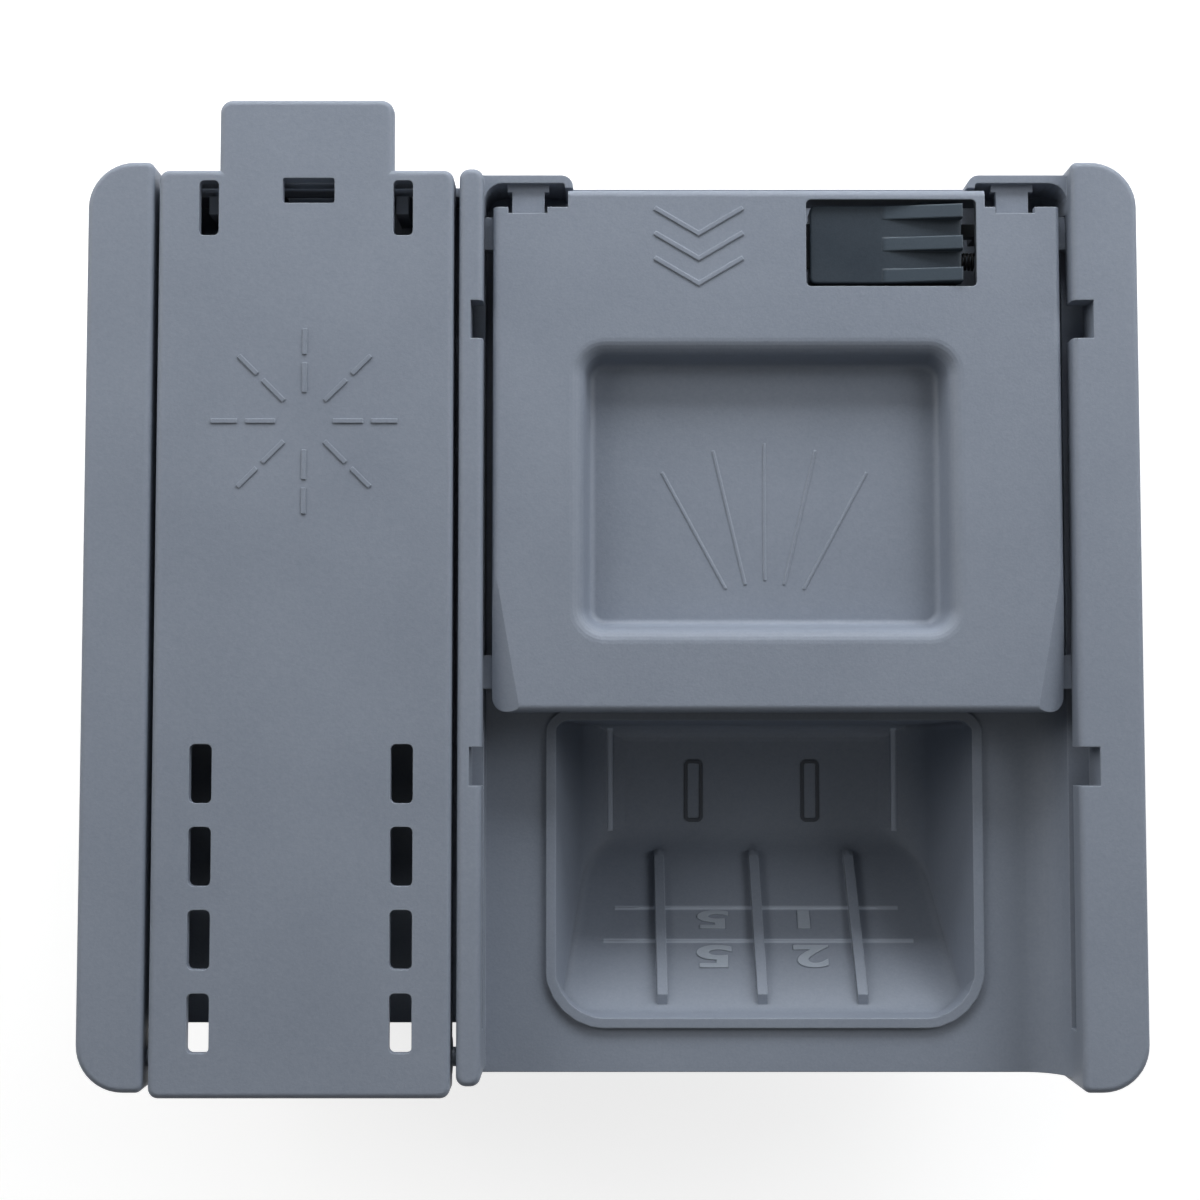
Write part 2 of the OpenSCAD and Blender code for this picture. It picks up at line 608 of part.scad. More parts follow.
// Front moulding: cheeks, rail, floors, cup, brackets, anchors and actuator box in one piece
module front_chassis() {
    color(grey) difference() {
        union() {
            cheek(-1);
            cheek(1);
            translate([0, 0, z_under]) soft_plate(bay_x1, y_bot + 1, track_x0, y_top - 1.1,
                [1.6, 1.6, 1.6, 1.6], z_face - z_under, edge_r);
            bay_floors();
            brackets();
            spring_anchor(anchor_xl);
            spring_anchor(anchor_xr);
            difference() {
                cup_form(cup_wall, z_rim);
                cup_form(0, z_rim + cut);
            }
            intersection() {
                cup_form(cup_wall / 2, z_rim);
                cup_details();
            }
            actuator_box();
            translate([bay_x0 - 3.4, hinge_y, hinge_z]) rotate([0, 90, 0]) cylinder(r = ear_r, h = 3);
            translate([bay_xc, fill_y, z_floor - 1]) cylinder(r = neck_r, h = neck_h + 1);
            translate([bay_xc, dial_y, z_floor - 1]) cylinder(r = dial_well_r + 1.6, h = 5);
            translate([bay_xc, dial_y, z_under - 4]) cylinder(r = dial_shaft_r + 3, h = 5);
            for (x = [bay_xc - 16.4, bay_xc + 14.2])
                block(x, bay_y1 - 5, z_floor - 1, x + 2, bay_y1 - 2, z_floor + 9.6);
            difference() {
                prism(seat_outline(gasket_w + lip_out), z_seat + 0.6, z_under + 0.5);
                prism(seat_outline(gasket_w + lip_out + lip_t), z_seat - cut, z_under + 1);
            }
        }
        lug_grooves();
        difference() {
            cup_form(0, z_rim + cut);
            cup_details();
        }
        for (x = [bay_x0 - hinge_bore_d, bay_x1 - cut])
            translate([x, hinge_y, hinge_z]) rotate([0, 90, 0]) cylinder(r = hinge_bore_r, h = hinge_bore_d + cut);
        translate([bay_xc, fill_y, z_floor]) cylinder(r = fill_r, h = neck_h + cut);
        translate([bay_xc, fill_y, z_under - cut]) cylinder(r = fill_r - 4, h = wall + 2 * cut);
        translate([bay_xc, dial_y, z_floor]) cylinder(r = dial_well_r, h = 6);
        translate([bay_xc, dial_y, z_under - 5]) cylinder(r = dial_shaft_r + pin_play, h = 8);
        translate([bay_xc, hinge_y + 24, z_under - cut]) cylinder(r = 2.2, h = wall + 2 * cut);
        block(catch_x - catch_w / 2 - 0.4, catch_y - cut, z_floor + 3.4, catch_x + catch_w / 2 + 0.4, bay_y1 + cut,
            z_floor + 6.4);
        block(pawl_x - 0.5, pawl_y0 - 2.4, z_under - cut, pawl_x + pawl_w + 0.5, pawl_y0 + pawl_h + 1,
            z_floor + cut);
        translate([box_x0 - cut, rocker_y, rocker_z]) rotate([0, 90, 0])
            cylinder(r = journal_r + pin_play, h = box_t + 2 * cut);
        translate([box_x1 - box_t - cut, rocker_y, rocker_z]) rotate([0, 90, 0])
            cylinder(r = journal_r + pin_play, h = box_t + 2 * cut);
        translate([box_x0 - cut, solenoid_y0 + 14, z_drive]) rotate([0, 90, 0]) cylinder(r = 3, h = box_t + 2 * cut);
    }
}

// Section of the lid's recess in [r, z] from its corner centres
recess_in = 2.5;
function recess_section() = [[0, z_recess, 0], [recess_in, z_recess, 1.2], [recess_in + 1.2, z_lid, 2.6],
    [recess_in + 4.4, z_lid, 0], [recess_in + 4.4, z_lid + cut, 0], [0, z_lid + cut, 0]];

module recess_form(section) {
    swept_tub(recess_x - recess_w / 2 + recess_in, recess_y - recess_h / 2 + recess_in,
        recess_x + recess_w / 2 - recess_in, recess_y + recess_h / 2 - recess_in, section);
}

// Drum whose top just shaves the lid's lower corners, so that they droop towards the lower edge
module droop_drum() {
    half = (lid_x1 - lid_x0) / 2;
    tilt = atan(droop_slope);
    translate([lid_x0 + half, lid_y0 + droop_len, z_lid - sqrt(droop_r * droop_r - half * half) / cos(tilt)])
        rotate([tilt - 90, 0, 0]) translate([0, 0, -150]) cylinder(r = droop_r, h = 300, $fn = 180);
}

// Chevrons that point the way the lid closes
module chevrons() {
    for (k = [0:2], s = [-1, 1])
        translate([window_xc - 31.3, lid_y1 - 7.3 - 4.1 * k, z_lid - 0.3]) mirror([s < 0 ? 1 : 0, 0, 0])
            rotate([0, 0, 30.5]) translate([-0.3, -0.35, 0]) cube([8.6, 0.7, 0.5]);
}

// Fan of rays on the floor of the recess
ray_w = 0.44;
ray_h = 0.12;
module fan_rays() {
    for (k = [-2:2]) {
        foot = [recess_x + k * 3.2, recess_y - 14.2 - abs(k) * 0.7];
        head = [recess_x + k * 8.4, recess_y + 8.4 - abs(k) * abs(k) * 1.2];
        d = head - foot;
        translate([foot[0], foot[1], z_recess - 0.3]) rotate([0, 0, atan2(d[1], d[0])])
            translate([0, -ray_w / 2, 0]) cube([norm(d), ray_w, 0.3 + ray_h]);
    }
}

// Sliding lid: a skirted shell with a soft recess, a button window and four guide lugs
module lid_cover() {
    color(grey) {
        difference() {
            union() {
                intersection() {
                    translate([0, 0, z_skirt]) soft_plate(lid_x0, lid_y0, lid_x1, lid_y1, [1.6, 1.6, 2.4, 2.4],
                        lid_skirt, 1.2);
                    droop_drum();
                }
                for (y = lug_y) {
                    block(track_x0 - groove_dl + gap, y - lug_h / 2, groove_z + 0.25, lid_x0 + 1, y + lug_h / 2,
                        groove_z + groove_h - 0.3);
                    block(lid_x1 - 1, y - lug_h / 2, groove_z + 0.25, track_x1 + groove_dr - gap, y + lug_h / 2,
                        groove_z + groove_h - 0.3);
                }
            }
            difference() {
                intersection() {
                    prism(box_outline(lid_x0 + skirt_t, lid_y0 + skirt_t, lid_x1 - skirt_t, lid_y1 - skirt_t, 1),
                        z_skirt - cut, z_lid_in);
                    translate([0, 0, -lid_t]) droop_drum();
                }
                recess_form(grown(recess_section(), lid_t));
                for (x = [anchor_xl, anchor_xr])
                    translate([x, hook_y, z_spring - 1.6]) cylinder(r = peg_r, h = 10);
                flange_guides();
                block(stop_x, window_yc - 4, z_button_in, stop_x + 1, window_yc - 0.6, z_lid);
            }
            recess_form(recess_section());
            prism(box_outline(window_xc - window_w / 2, window_yc - window_h / 2, window_xc + window_w / 2,
                window_yc + window_h / 2, 0.8), z_lid_in - 0.6, z_lid + cut);
            block(lid_x0 - cut, notch_y, z_skirt - cut, notch_xl, lid_y1 + cut, z_lid + cut);
            block(notch_xr, notch_y, z_skirt - cut, lid_x1 + cut, lid_y1 + cut, z_lid + cut);
            for (x = [anchor_xl, anchor_xr])
                block(x - 3.2, notch_y - 1, z_skirt - cut, x + 3.2, lid_y1 + cut, z_lid + cut);
        }
        difference() {
            recess_lower();
            recess_form(recess_section());
        }
        chevrons();
        fan_rays();
    }
}

// The part of the recess that hangs below the lid's skirts
module recess_lower() {
    intersection() {
        recess_form(grown(recess_section(), lid_t));
        block(lid_x0, lid_y0, z_recess_in, lid_x1, lid_y1, z_skirt + 0.01);
    }
    for (x = [anchor_xl, anchor_xr])
        translate([x, hook_y, z_spring - 1.6]) cylinder(r = peg_r, h = z_skirt - z_spring + 1.62);
}

// Hooked guides below and to the left of the window, which hold the button's flanges from below
module flange_guides() {
    z0 = z_flange - gap - 1;
    y = window_yc - guide_y;
    x = button_x0 - flange_l - gap;
    block(button_x0 + 2, y - guide_t / 2, z0, button_x1 - 2, y + guide_t / 2, z_lid);
    block(button_x0 + 2, y, z0, button_x1 - 2, y + 1.7, z0 + 1);
    block(x - guide_t, window_yc - 4, z0, x, window_yc + 4, z_lid);
    block(x - gap, window_yc - 4, z0, button_x0 - gap, window_yc + 4, z0 + 1);
}

// Inner plate that carries the seal, on posts under the lid
module lid_plate() {
    z0 = z_seal + seal_t;
    color(grey) {
        difference() {
            prism(box_outline(plate_x0, plate_y0, plate_x1, plate_y1, 3), z0, z_recess_in);
            difference() {
                prism(box_outline(plate_x0 + 0.4, plate_y0 + 0.4, plate_x1 - 0.4, plate_y1 - 0.4, 2.6), z0 - cut,
                    z0 + seal_groove);
                prism(box_outline(plate_x0 + 0.4 + seal_w, plate_y0 + 0.4 + seal_w, plate_x1 - 0.4 - seal_w,
                    plate_y1 - 0.4 - seal_w, 1), z0 - 2 * cut, z0 + 1);
            }
        }
        for (x = [plate_x0 + 1.4, plate_x1 - 1.4], y = [plate_y0 + 4, (plate_y0 + plate_y1) / 2, plate_y1 - 4])
            translate([x, y, z_recess_in - 0.5]) cylinder(r = 1.2, h = z_lid_in - z_recess_in + 0.5);
    }
}

// Rubber frame that closes on the cup's rim
module lid_seal() {
    color(rubber) difference() {
        prism(box_outline(plate_x0 + 0.4, plate_y0 + 0.4, plate_x1 - 0.4, plate_y1 - 0.4, 2.6), z_seal,
            z_seal + seal_t + seal_groove);
        prism(box_outline(plate_x0 + 0.4 + seal_w, plate_y0 + 0.4 + seal_w, plate_x1 - 0.4 - seal_w,
            plate_y1 - 0.4 - seal_w, 1), z_seal - cut, z_seal + seal_t + seal_groove + cut);
        prism(box_outline(plate_x0 + 1.6, plate_y0 + 1.6, plate_x1 - 1.6, plate_y1 - 1.6, 2), z_seal - cut,
            z_seal + 0.3);
    }
}

// Catch finger of the button: it hooks the pawl from below its edge when the lid is closed
module catch_finger() {
    z0 = z_floor + 1.4;
    z1 = z_floor + 3.6;
    x_leg = window_xc + window_w / 2 + gap;
    leg_t = 1.4;
    x_finger = pawl_x + pawl_w + 0.45;
    finger_t = 1.65;
    y_arm = pawl_y0 + pawl_h + lid_travel + 0.8;
    arm_w = 2.2;
    hook_face = pawl_y0 - gap + lid_travel;
    block(button_x1 - 2, y_arm, z_button_in, x_leg + leg_t, y_arm + arm_w, z_button_in + 1.6);
    block(x_leg, y_arm, z0, x_leg + leg_t, y_arm + arm_w, z_button_in + 1);
    block(x_leg, y_arm, z0, x_finger + finger_t, y_arm + arm_w, z1);
    block(x_finger, hook_face - 2.7, z0, x_finger + finger_t, y_arm + 0.5, z1);
    block(pawl_x + 1.1, hook_face - 2.7, z0, x_finger + 0.5, hook_face, z1);
}

// Push button with ramped grip ribs
module latch_button() {
    y0 = window_yc - button_h / 2;
    y1 = window_yc + button_h / 2;
    color(slate) {
        difference() {
            union() {
                translate([0, 0, z_button_in]) soft_plate(button_x0, y0, button_x1, y1, [0.8, 0.8, 0.8, 0.8],
                    z_button - z_button_in, 0.4);
                block(button_x0 + 1, y0 - flange_w, z_flange, button_x1 - 1, y0 + 1, z_flange + flange_t);
                block(button_x0 - flange_l, window_yc - 3.6, z_flange, button_x0 + 1, window_yc + 3.6,
                    z_flange + flange_t);
                for (k = [-1:1]) grip_rib(window_yc + k * grip_pitch);
            }
            block(button_x0 + 1.5, y0 + 1.5, z_button_in - cut, button_x1 - 2.5, y1 - 1.5, z_button - 1.4);
        }
        catch_finger();
    }
}

// One wedge-shaped grip rib, flat at its left end and tall at its right end
module grip_rib(y) {
    x0 = button_x0 + button_w * 0.51;
    along_y([[x0, z_button - 0.5, 0], [button_x1 - 0.1, z_button - 0.5, 0], [button_x1 - 0.1, z_button + grip_h, 0.5],
        [x0, z_button, 0]], y - grip_w / 2, y + grip_w / 2);
}

module button_spring() {
    l = stop_x - button_x1;
    color(steel) translate([button_x1 + 0.25, window_yc - 2.3, z_button_in + 1.7]) rotate([0, 90, 0])
        helix_wire(1.3, (l - 0.5) / 3, 3, 0.2);
}

// Extension spring at rest, close wound between two end loops
module lid_spring(x) {
    y0 = hook_y + peg_r + 0.9;
    y1 = anchor_y - peg_r - 0.9;
    color(steel) {
        translate([x, y1, z_spring]) rotate([90, 0, 0]) close_coil(spring_r, spring_wire / 2, y1 - y0);
        for (e = [[hook_y, y0], [anchor_y, y1]]) {
            translate([x, e[0], z_spring]) rotate_extrude() translate([peg_r + 0.1 + spring_wire / 2, 0])
                circle(spring_wire / 2);
            translate([x, e[1], z_spring]) rotate([90, 0, 0]) cylinder(r = spring_r - 0.1, h = 0.7, center = true);
        }
    }
}

module lid_spring_left() { lid_spring(anchor_xl); }

module lid_spring_right() { lid_spring(anchor_xr); }

// Star of eight dashed rays
module star() {
    for (k = [0:7]) translate([bay_xc, 27.5, z_cover - 0.3]) rotate([0, 0, 45 * k])
        for (d = [[0.31, 0.63], [0.72, 1]])
            translate([star_r * d[0], -0.35, 0]) cube([star_r * (d[1] - d[0]), 0.7, 0.5]);
}

// Ear and pin of the cover's hinge; side is -1 on the left and 1 on the right
module hinge_ear(side) {
    x = side < 0 ? cover_x0 : cover_x1;
    translate([x, hinge_y, hinge_z]) rotate([0, side * 90, 0]) {
        translate([0, 0, -4]) cylinder(r = ear_r, h = 4);
        translate([0, 0, -1]) cylinder(r = hinge_pin_r, h = 1 + cover_gap + hinge_bore_d - gap);
    }
}

// Hinged cover with its lift tab, latch hook, drain slots and star
module rinse_cover() {
    mid = (cover_x0 + cover_x1) / 2;
    color(grey) {
        difference() {
            union() {
                translate([0, 0, z_cover - cover_skirt]) soft_plate(cover_x0, cover_y0, cover_x1, cover_y1,
                    [1.6, 1.6, 1.6, 1.6], cover_skirt, edge_r);
                translate([0, 0, z_cover - 2.6]) soft_plate(mid - tab_w / 2, cover_y1 - 6, mid + tab_w / 2,
                    y_top + tab_reach, [2, 2, 1.2, 1.2], 2.6, edge_r);
            }
            prism(box_outline(cover_x0 + 1.6, cover_y0 + 1.6, cover_x1 - 1.6, cover_y1 - 1.6, 0.8),
                z_cover - cover_skirt - cut, z_cover_in);
            for (s = [-1, 1], k = [0:3])
                prism(box_outline(mid + s * drain_spread / 2 - drain_w / 2, hinge_y + 1.2 + drain_pitch * k,
                    mid + s * drain_spread / 2 + drain_w / 2, hinge_y + 1.2 + drain_pitch * k + drain_h, 0.9),
                    z_cover_in - cut, z_cover + cut);
            prism(box_outline(catch_x - catch_w / 2, cover_y1 - 5.5, catch_x + catch_w / 2, cover_y1 - 1.4, 0.4),
                z_cover_in - cut, z_cover + cut);
            for (s = [-1, 1])
                prism(box_outline(mid + s * (tab_w / 2 + 1.6) - 1.6, cover_y1 - 10.8, mid + s * (tab_w / 2 + 1.6) + 1.6,
                    cover_y1 - 1.8, 0.8), z_cover_in - cut, z_cover + cut);
        }
        hinge_ear(-1);
        hinge_ear(1);
        block(catch_x - catch_w / 2, cover_y1 - 7, z_floor + 3.9, catch_x + catch_w / 2, cover_y1 - 5.5,
            z_cover_in + 0.5);
        block(catch_x - catch_w / 2, cover_y1 - 6, z_floor + 3.9, catch_x + catch_w / 2, catch_y + 0.9,
            z_floor + 5.9);
        translate([bay_xc, fill_y, z_neck - 1.5]) cylinder(r = plug_stem_r, h = z_cover_in - z_neck + 2);
        star();
    }
}

// Rubber plug under the cover that closes the filler neck
module cover_seal() {
    color(rubber) translate([bay_xc, fill_y, 0]) difference() {
        union() {
            translate([0, 0, z_neck + gap]) cylinder(r = neck_r - 0.4, h = z_cover_in - z_neck - gap);
            translate([0, 0, z_neck - 2]) cylinder(r = fill_r - 0.6, h = 3);
        }
        translate([0, 0, z_neck - 3]) cylinder(r = plug_stem_r + pin_play, h = 8);
        translate([0, 0, z_neck - 3]) difference() {
            cylinder(r = fill_r - 2, h = 3.5);
            translate([0, 0, -cut]) cylinder(r = 7, h = 5.5);
        }
    }
}

// Strainer that lies on the ledge in the filler neck
module filler_strainer() {
    color(natural) translate([bay_xc, fill_y, z_floor]) difference() {
        cylinder(r = fill_r - 0.1, h = 3.5);
        translate([0, 0, 1.2]) cylinder(r = fill_r - 1.3, h = 3);
        for (i = [-4:4], j = [-4:4])
            if (norm([i, j]) * 2.3 < fill_r - 5.2)
                translate([i * 2.3 - 0.8, j * 2.3 - 0.8, -cut]) cube([1.6, 1.6, 3]);
    }
}

// Dosing dial: a knob with a grip bar on a sealed shaft
module dosing_dial() {
    color(slate) translate([bay_xc, dial_y, 0]) {
        difference() {
            translate([0, 0, z_floor + 0.3]) cylinder(r = dial_r, h = 4.2);
            for (s = [-1, 1]) translate([0, s * (dial_r * 0.55 + 1.6), z_floor + 5.2])
                rotate([0, 90, 0]) cylinder(r = dial_r * 0.55, h = 3 * dial_r, center = true);
        }
        translate([-1.6, -dial_r + 1.2, z_floor + 0.5]) cube([3.2, 2 * dial_r - 2.4, 5.6]);
        translate([0, 0, z_under - 7]) cylinder(r = dial_shaft_r, h = wall + 7.5);
        difference() {
            translate([0, 0, z_under - 12]) cylinder(r = dial_shaft_r + 1.5, h = 5.2);
            translate([dial_shaft_r - 0.5, -8, z_under - 13]) cube([8, 16, 7]);
        }
    }
}

module dial_ring() {
    color(rubber) translate([bay_xc, dial_y, z_under - 5.2]) rotate_extrude()
        translate([dial_shaft_r + 1 + pin_play, 0]) circle(1);
}

// Open tub of the reservoir, welded under the left bay
module reservoir_tub() {
    color(natural) difference() {
        union() {
            translate([0, 0, z_under]) mirror([0, 0, 1]) soft_plate(tub_x0, tub_y0, tub_x1, tub_y1, [6, 6, 6, 6],
                z_under, 3);
            for (y = [tub_y0 + 26, tub_y1 - 26]) block(tub_x0 + 4, y - 0.6, 0, tub_x1 - 4, y + 0.6, 3);
        }
        translate([0, 0, z_under + cut]) mirror([0, 0, 1]) soft_plate(tub_x0 + tub_t, tub_y0 + tub_t, tub_x1 - tub_t,
            tub_y1 - tub_t, [4.2, 4.2, 4.2, 4.2], z_under - tub_t + cut, 1.5);
        translate([tub_x1 - tub_t - cut, solenoid_y0 + 14, z_drive]) rotate([0, 90, 0])
            cylinder(r = 2.6, h = tub_t + 2 * cut);
    }
    color(natural) for (s = [0, 9])
        block(tub_x1 - tub_t - 8, float_y0 - 1.5, 7.4 + s, tub_x1 - tub_t + 0.5, float_y0 + 38, 8.6 + s);
    color(natural) block(tub_x1 - tub_t - 8, float_y0 - 1.5, 7.4, tub_x1 - tub_t + 0.5, float_y0 - gap, 17.6);
}

// Float with its magnet, which slides between two ribs on the tub's wall
float_y0 = -44;
module level_float() {
    color(slate) prism(box_outline(tub_x1 - tub_t - 7.6, float_y0, tub_x1 - tub_t - 0.4, float_y0 + 9, 1.5), 8.9, 16.1);
}

module reed_switch() {
    color(rubber) block(tub_x1, float_y0 + 4, 9.5, tub_x1 + 2.2, float_y0 + 22, 14.5);
}

// Valve barrel on the actuator box's wall, with its nipple into the reservoir
module dosing_barrel() {
    y0 = solenoid_y0 + 1;
    color(natural) difference() {
        union() {
            translate([dose_x, y0, z_drive]) rotate([-90, 0, 0]) cylinder(r = 6, h = 20);
            translate([tub_x1 - tub_t, solenoid_y0 + 14, z_drive]) rotate([0, 90, 0])
                cylinder(r = 2.5, h = dose_x - tub_x1 + tub_t);
        }
        translate([dose_x, y0 - cut, z_drive]) rotate([-90, 0, 0]) cylinder(r = 2.5 + pin_play, h = 15);
    }
}

module dosing_stem() {
    color(slate) {
        translate([dose_x, rocker_y + drive_end_r + 0.1, z_drive]) rotate([-90, 0, 0]) cylinder(r = 4.2, h = 1.2);
        translate([dose_x, rocker_y + drive_end_r + 0.2, z_drive]) rotate([-90, 0, 0]) cylinder(r = 2.5, h = 15);
    }
}

module stem_spring() {
    y0 = rocker_y + drive_end_r + 1.3;
    l = solenoid_y0 + 1 - y0;
    color(steel) translate([dose_x, y0 + 0.3, z_drive]) rotate([-90, 0, 0]) helix_wire(3.3, (l - 0.6) / 3, 3, 0.3);
}

// Rocker shaft with the pawl that holds the lid and the two drive arms
module latch_rocker() {
    x0 = box_x0 + box_t;
    x1 = box_x1 - box_t;
    color(slate) {
        translate([x0 + gap, rocker_y, rocker_z]) rotate([0, 90, 0]) cylinder(r = rocker_shaft_r, h = x1 - x0 - 2 * gap);
        translate([box_x0, rocker_y, rocker_z]) rotate([0, 90, 0]) cylinder(r = journal_r, h = box_x1 - box_x0);
        for (x = [drive_x, dose_x]) {
            block(x - 1.4, rocker_y - 1, z_drive, x + 1.4, rocker_y + 1, rocker_z);
            translate([x - 1.4, rocker_y, z_drive]) rotate([0, 90, 0]) cylinder(r = drive_end_r, h = 2.8);
        }
        along_x([[pawl_y0, rocker_z - 1.6, 1], [rocker_y, rocker_z - 2.6, 0], [rocker_y, rocker_z + 2.6, 0],
            [pawl_y0 + pawl_h, rocker_z + 1.4, 1], [pawl_y0 + pawl_h, z_pawl - 1.6, 0.5], [pawl_y0 + 1.6, z_pawl, 0.5],
            [pawl_y0, z_pawl, 0.3]], pawl_x, pawl_x + pawl_w);
    }
}

// Torsion spring round the rocker's shaft: one leg pulls on the drive arm, one rests under the floor
module rocker_spring() {
    x0 = drive_x + 3.4;
    wire_r = 0.35;
    r = rocker_shaft_r + 1.1;
    leg = drive_arm - 4.5;
    lean = atan((r - 1 - wire_r) / leg);
    color(steel) {
        translate([x0, rocker_y, rocker_z]) rotate([0, 90, 0]) close_coil(r, wire_r, 4.9);
        translate([x0 + 0.6, rocker_y + r, rocker_z + 0.2]) rotate([180 - lean, 0, 0])
            cylinder(r = wire_r, h = leg + 0.4);
        translate([x0 - 2.4, rocker_y + 1 + wire_r, rocker_z - leg]) rotate([0, 90, 0])
            cylinder(r = wire_r - 0.02, h = 3.1);
        translate([x0 + 4.3, rocker_y - 0.2, rocker_z + r]) rotate([-90, 0, 0]) cylinder(r = wire_r, h = 12);
    }
}

// Bobbin with end flanges, bored for the plunger
module coil_bobbin() {
    color(natural) translate([drive_x, solenoid_y0 + 1.5, z_drive]) rotate([-90, 0, 0]) difference() {
        union() {
            cylinder(r = plunger_r + 1.2, h = solenoid_l - 3);
            cylinder(r = 10.2, h = 1.4);
            translate([0, 0, solenoid_l - 4.4]) cylinder(r = 10.2, h = 1.4);
        }
        translate([0, 0, -cut]) cylinder(r = plunger_r + pin_play, h = solenoid_l);
    }
}

module coil_winding() {
    color(copper) translate([drive_x, solenoid_y0 + 2.9, z_drive]) rotate([-90, 0, 0]) difference() {
        cylinder(r = 9.6, h = solenoid_l - 5.8);
        translate([0, 0, -cut]) cylinder(r = plunger_r + 1.2, h = solenoid_l);
    }
}

// Bent steel frame round the coil
module yoke_frame() {
    y0 = solenoid_y0;
    y1 = solenoid_y0 + solenoid_l;
    z0 = z_drive - 12;
    color(steel) difference() {
        prism([[drive_x - 9, y0, 1], [drive_x + 9, y0, 1], [drive_x + 9, y1, 1], [drive_x - 9, y1, 1]], z0,
            z_drive + 8);
        block(drive_x - 10, y0 + 1.5, z0 + 1.5, drive_x + 10, y1 - 1.5, z_drive + 9);
        translate([drive_x, y0 - cut, z_drive]) rotate([-90, 0, 0]) cylinder(r = plunger_r + 0.4, h = 4);
    }
    color(steel) for (s = [-1, 1], y = [y0 + 5, y1 - 5])
        translate([drive_x + s * 6, y, z_back]) cylinder(r = 2, h = z0 - z_back + 0.5);
}

// Plunger whose slotted end holds the rocker's drive arm
module solenoid_plunger() {
    color(steel) difference() {
        translate([drive_x, rocker_y - drive_end_r - 2.8, z_drive]) rotate([-90, 0, 0]) cylinder(r = plunger_r, h = 30);
        block(drive_x - 1.8, rocker_y - drive_end_r - gap, z_drive - 2.4, drive_x + 1.8,
            rocker_y + drive_end_r + gap, z_drive + plunger_r + cut);
    }
}

// Four blade terminals in the rear cover's socket
socket_x = 12;
socket_y = 46;
module terminal_tabs() {
    color(brass) for (k = [0:3])
        block(socket_x - 11.4 + 7 * k, socket_y - 3.15, 4.8, socket_x - 10.6 + 7 * k, socket_y + 3.15, 15);
}

// Rear cover of the actuator box with the wiring socket
module rear_cover() {
    color(grey) difference() {
        union() {
            translate([0, 0, z_back]) mirror([0, 0, 1]) soft_plate(box_x0, box_y0, box_x1, box_y1, [4, 4, 4, 4],
                z_back, 0.8);
            prism(box_outline(socket_x - 16, socket_y - 6.5, socket_x + 16, socket_y + 6.5, 1), 0.5, 13);
        }
        prism(box_outline(socket_x - 14.5, socket_y - 5, socket_x + 14.5, socket_y + 5, 0.6), -cut, 11.5);
        for (k = [0:3])
            block(socket_x - 11.4 + 7 * k, socket_y - 3.15, 10, socket_x - 10.6 + 7 * k, socket_y + 3.15, 14);
        for (p = screw_points()) {
            translate([p[0], p[1], -cut]) cylinder(r = screw_r + 0.2, h = 4);
            translate([p[0], p[1], -cut]) cylinder(r = 2.9, h = cut + 1.2);
        }
    }
}

module cover_screws() {
    color(steel) for (p = screw_points()) {
        translate([p[0], p[1], 0.1]) cylinder(r = 2.7, h = 1.1);
        translate([p[0], p[1], 0.5]) cylinder(r = screw_r - 0.2, h = 8);
    }
}

// Rubber gasket that seals the flange to the door panel
module panel_gasket() {
    color(rubber) difference() {
        prism(seat_outline(0), z_under - gasket_t, z_under);
        prism(seat_outline(gasket_w), z_under - gasket_t - cut, z_under + cut);
    }
}

// Sprung clips that catch behind the door panel's cut-out
module fixing_clips() {
    t = 0.6;
    flare = 3.2;
    z0 = z_seat - 16;
    z1 = z_seat - 1.6;
    color(steel) for (y = [-30, 34]) {
        along_y([[tub_x0 - t, z0, 0], [tub_x0, z0, 0], [tub_x0, z0 + 6, 0], [tub_x0 - flare, z1, 0],
            [tub_x0 - flare - t, z1, 0], [tub_x0 - t, z0 + 6, 0]], y - 5, y + 5);
    }
    color(steel) for (y = [0, 44]) {
        along_y([[box_x1, z0, 0], [box_x1 + t, z0, 0], [box_x1 + t, z0 + 6, 0], [box_x1 + flare + t, z1, 0],
            [box_x1 + flare, z1, 0], [box_x1, z0 + 6, 0]], y - 5, y + 5);
    }
}

front_chassis();
lid_cover();
lid_plate();
lid_seal();
latch_button();
button_spring();
lid_spring_left();
lid_spring_right();
rinse_cover();
cover_seal();
filler_strainer();
dosing_dial();
dial_ring();
reservoir_tub();
level_float();
reed_switch();
dosing_barrel();
dosing_stem();
stem_spring();
latch_rocker();
rocker_spring();
coil_bobbin();
coil_winding();
yoke_frame();
solenoid_plunger();
terminal_tabs();
rear_cover();
cover_screws();
panel_gasket();
fixing_clips();
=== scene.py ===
from math import cos, pi, radians, sin

import bmesh
import bpy
from mathutils import Matrix, Vector


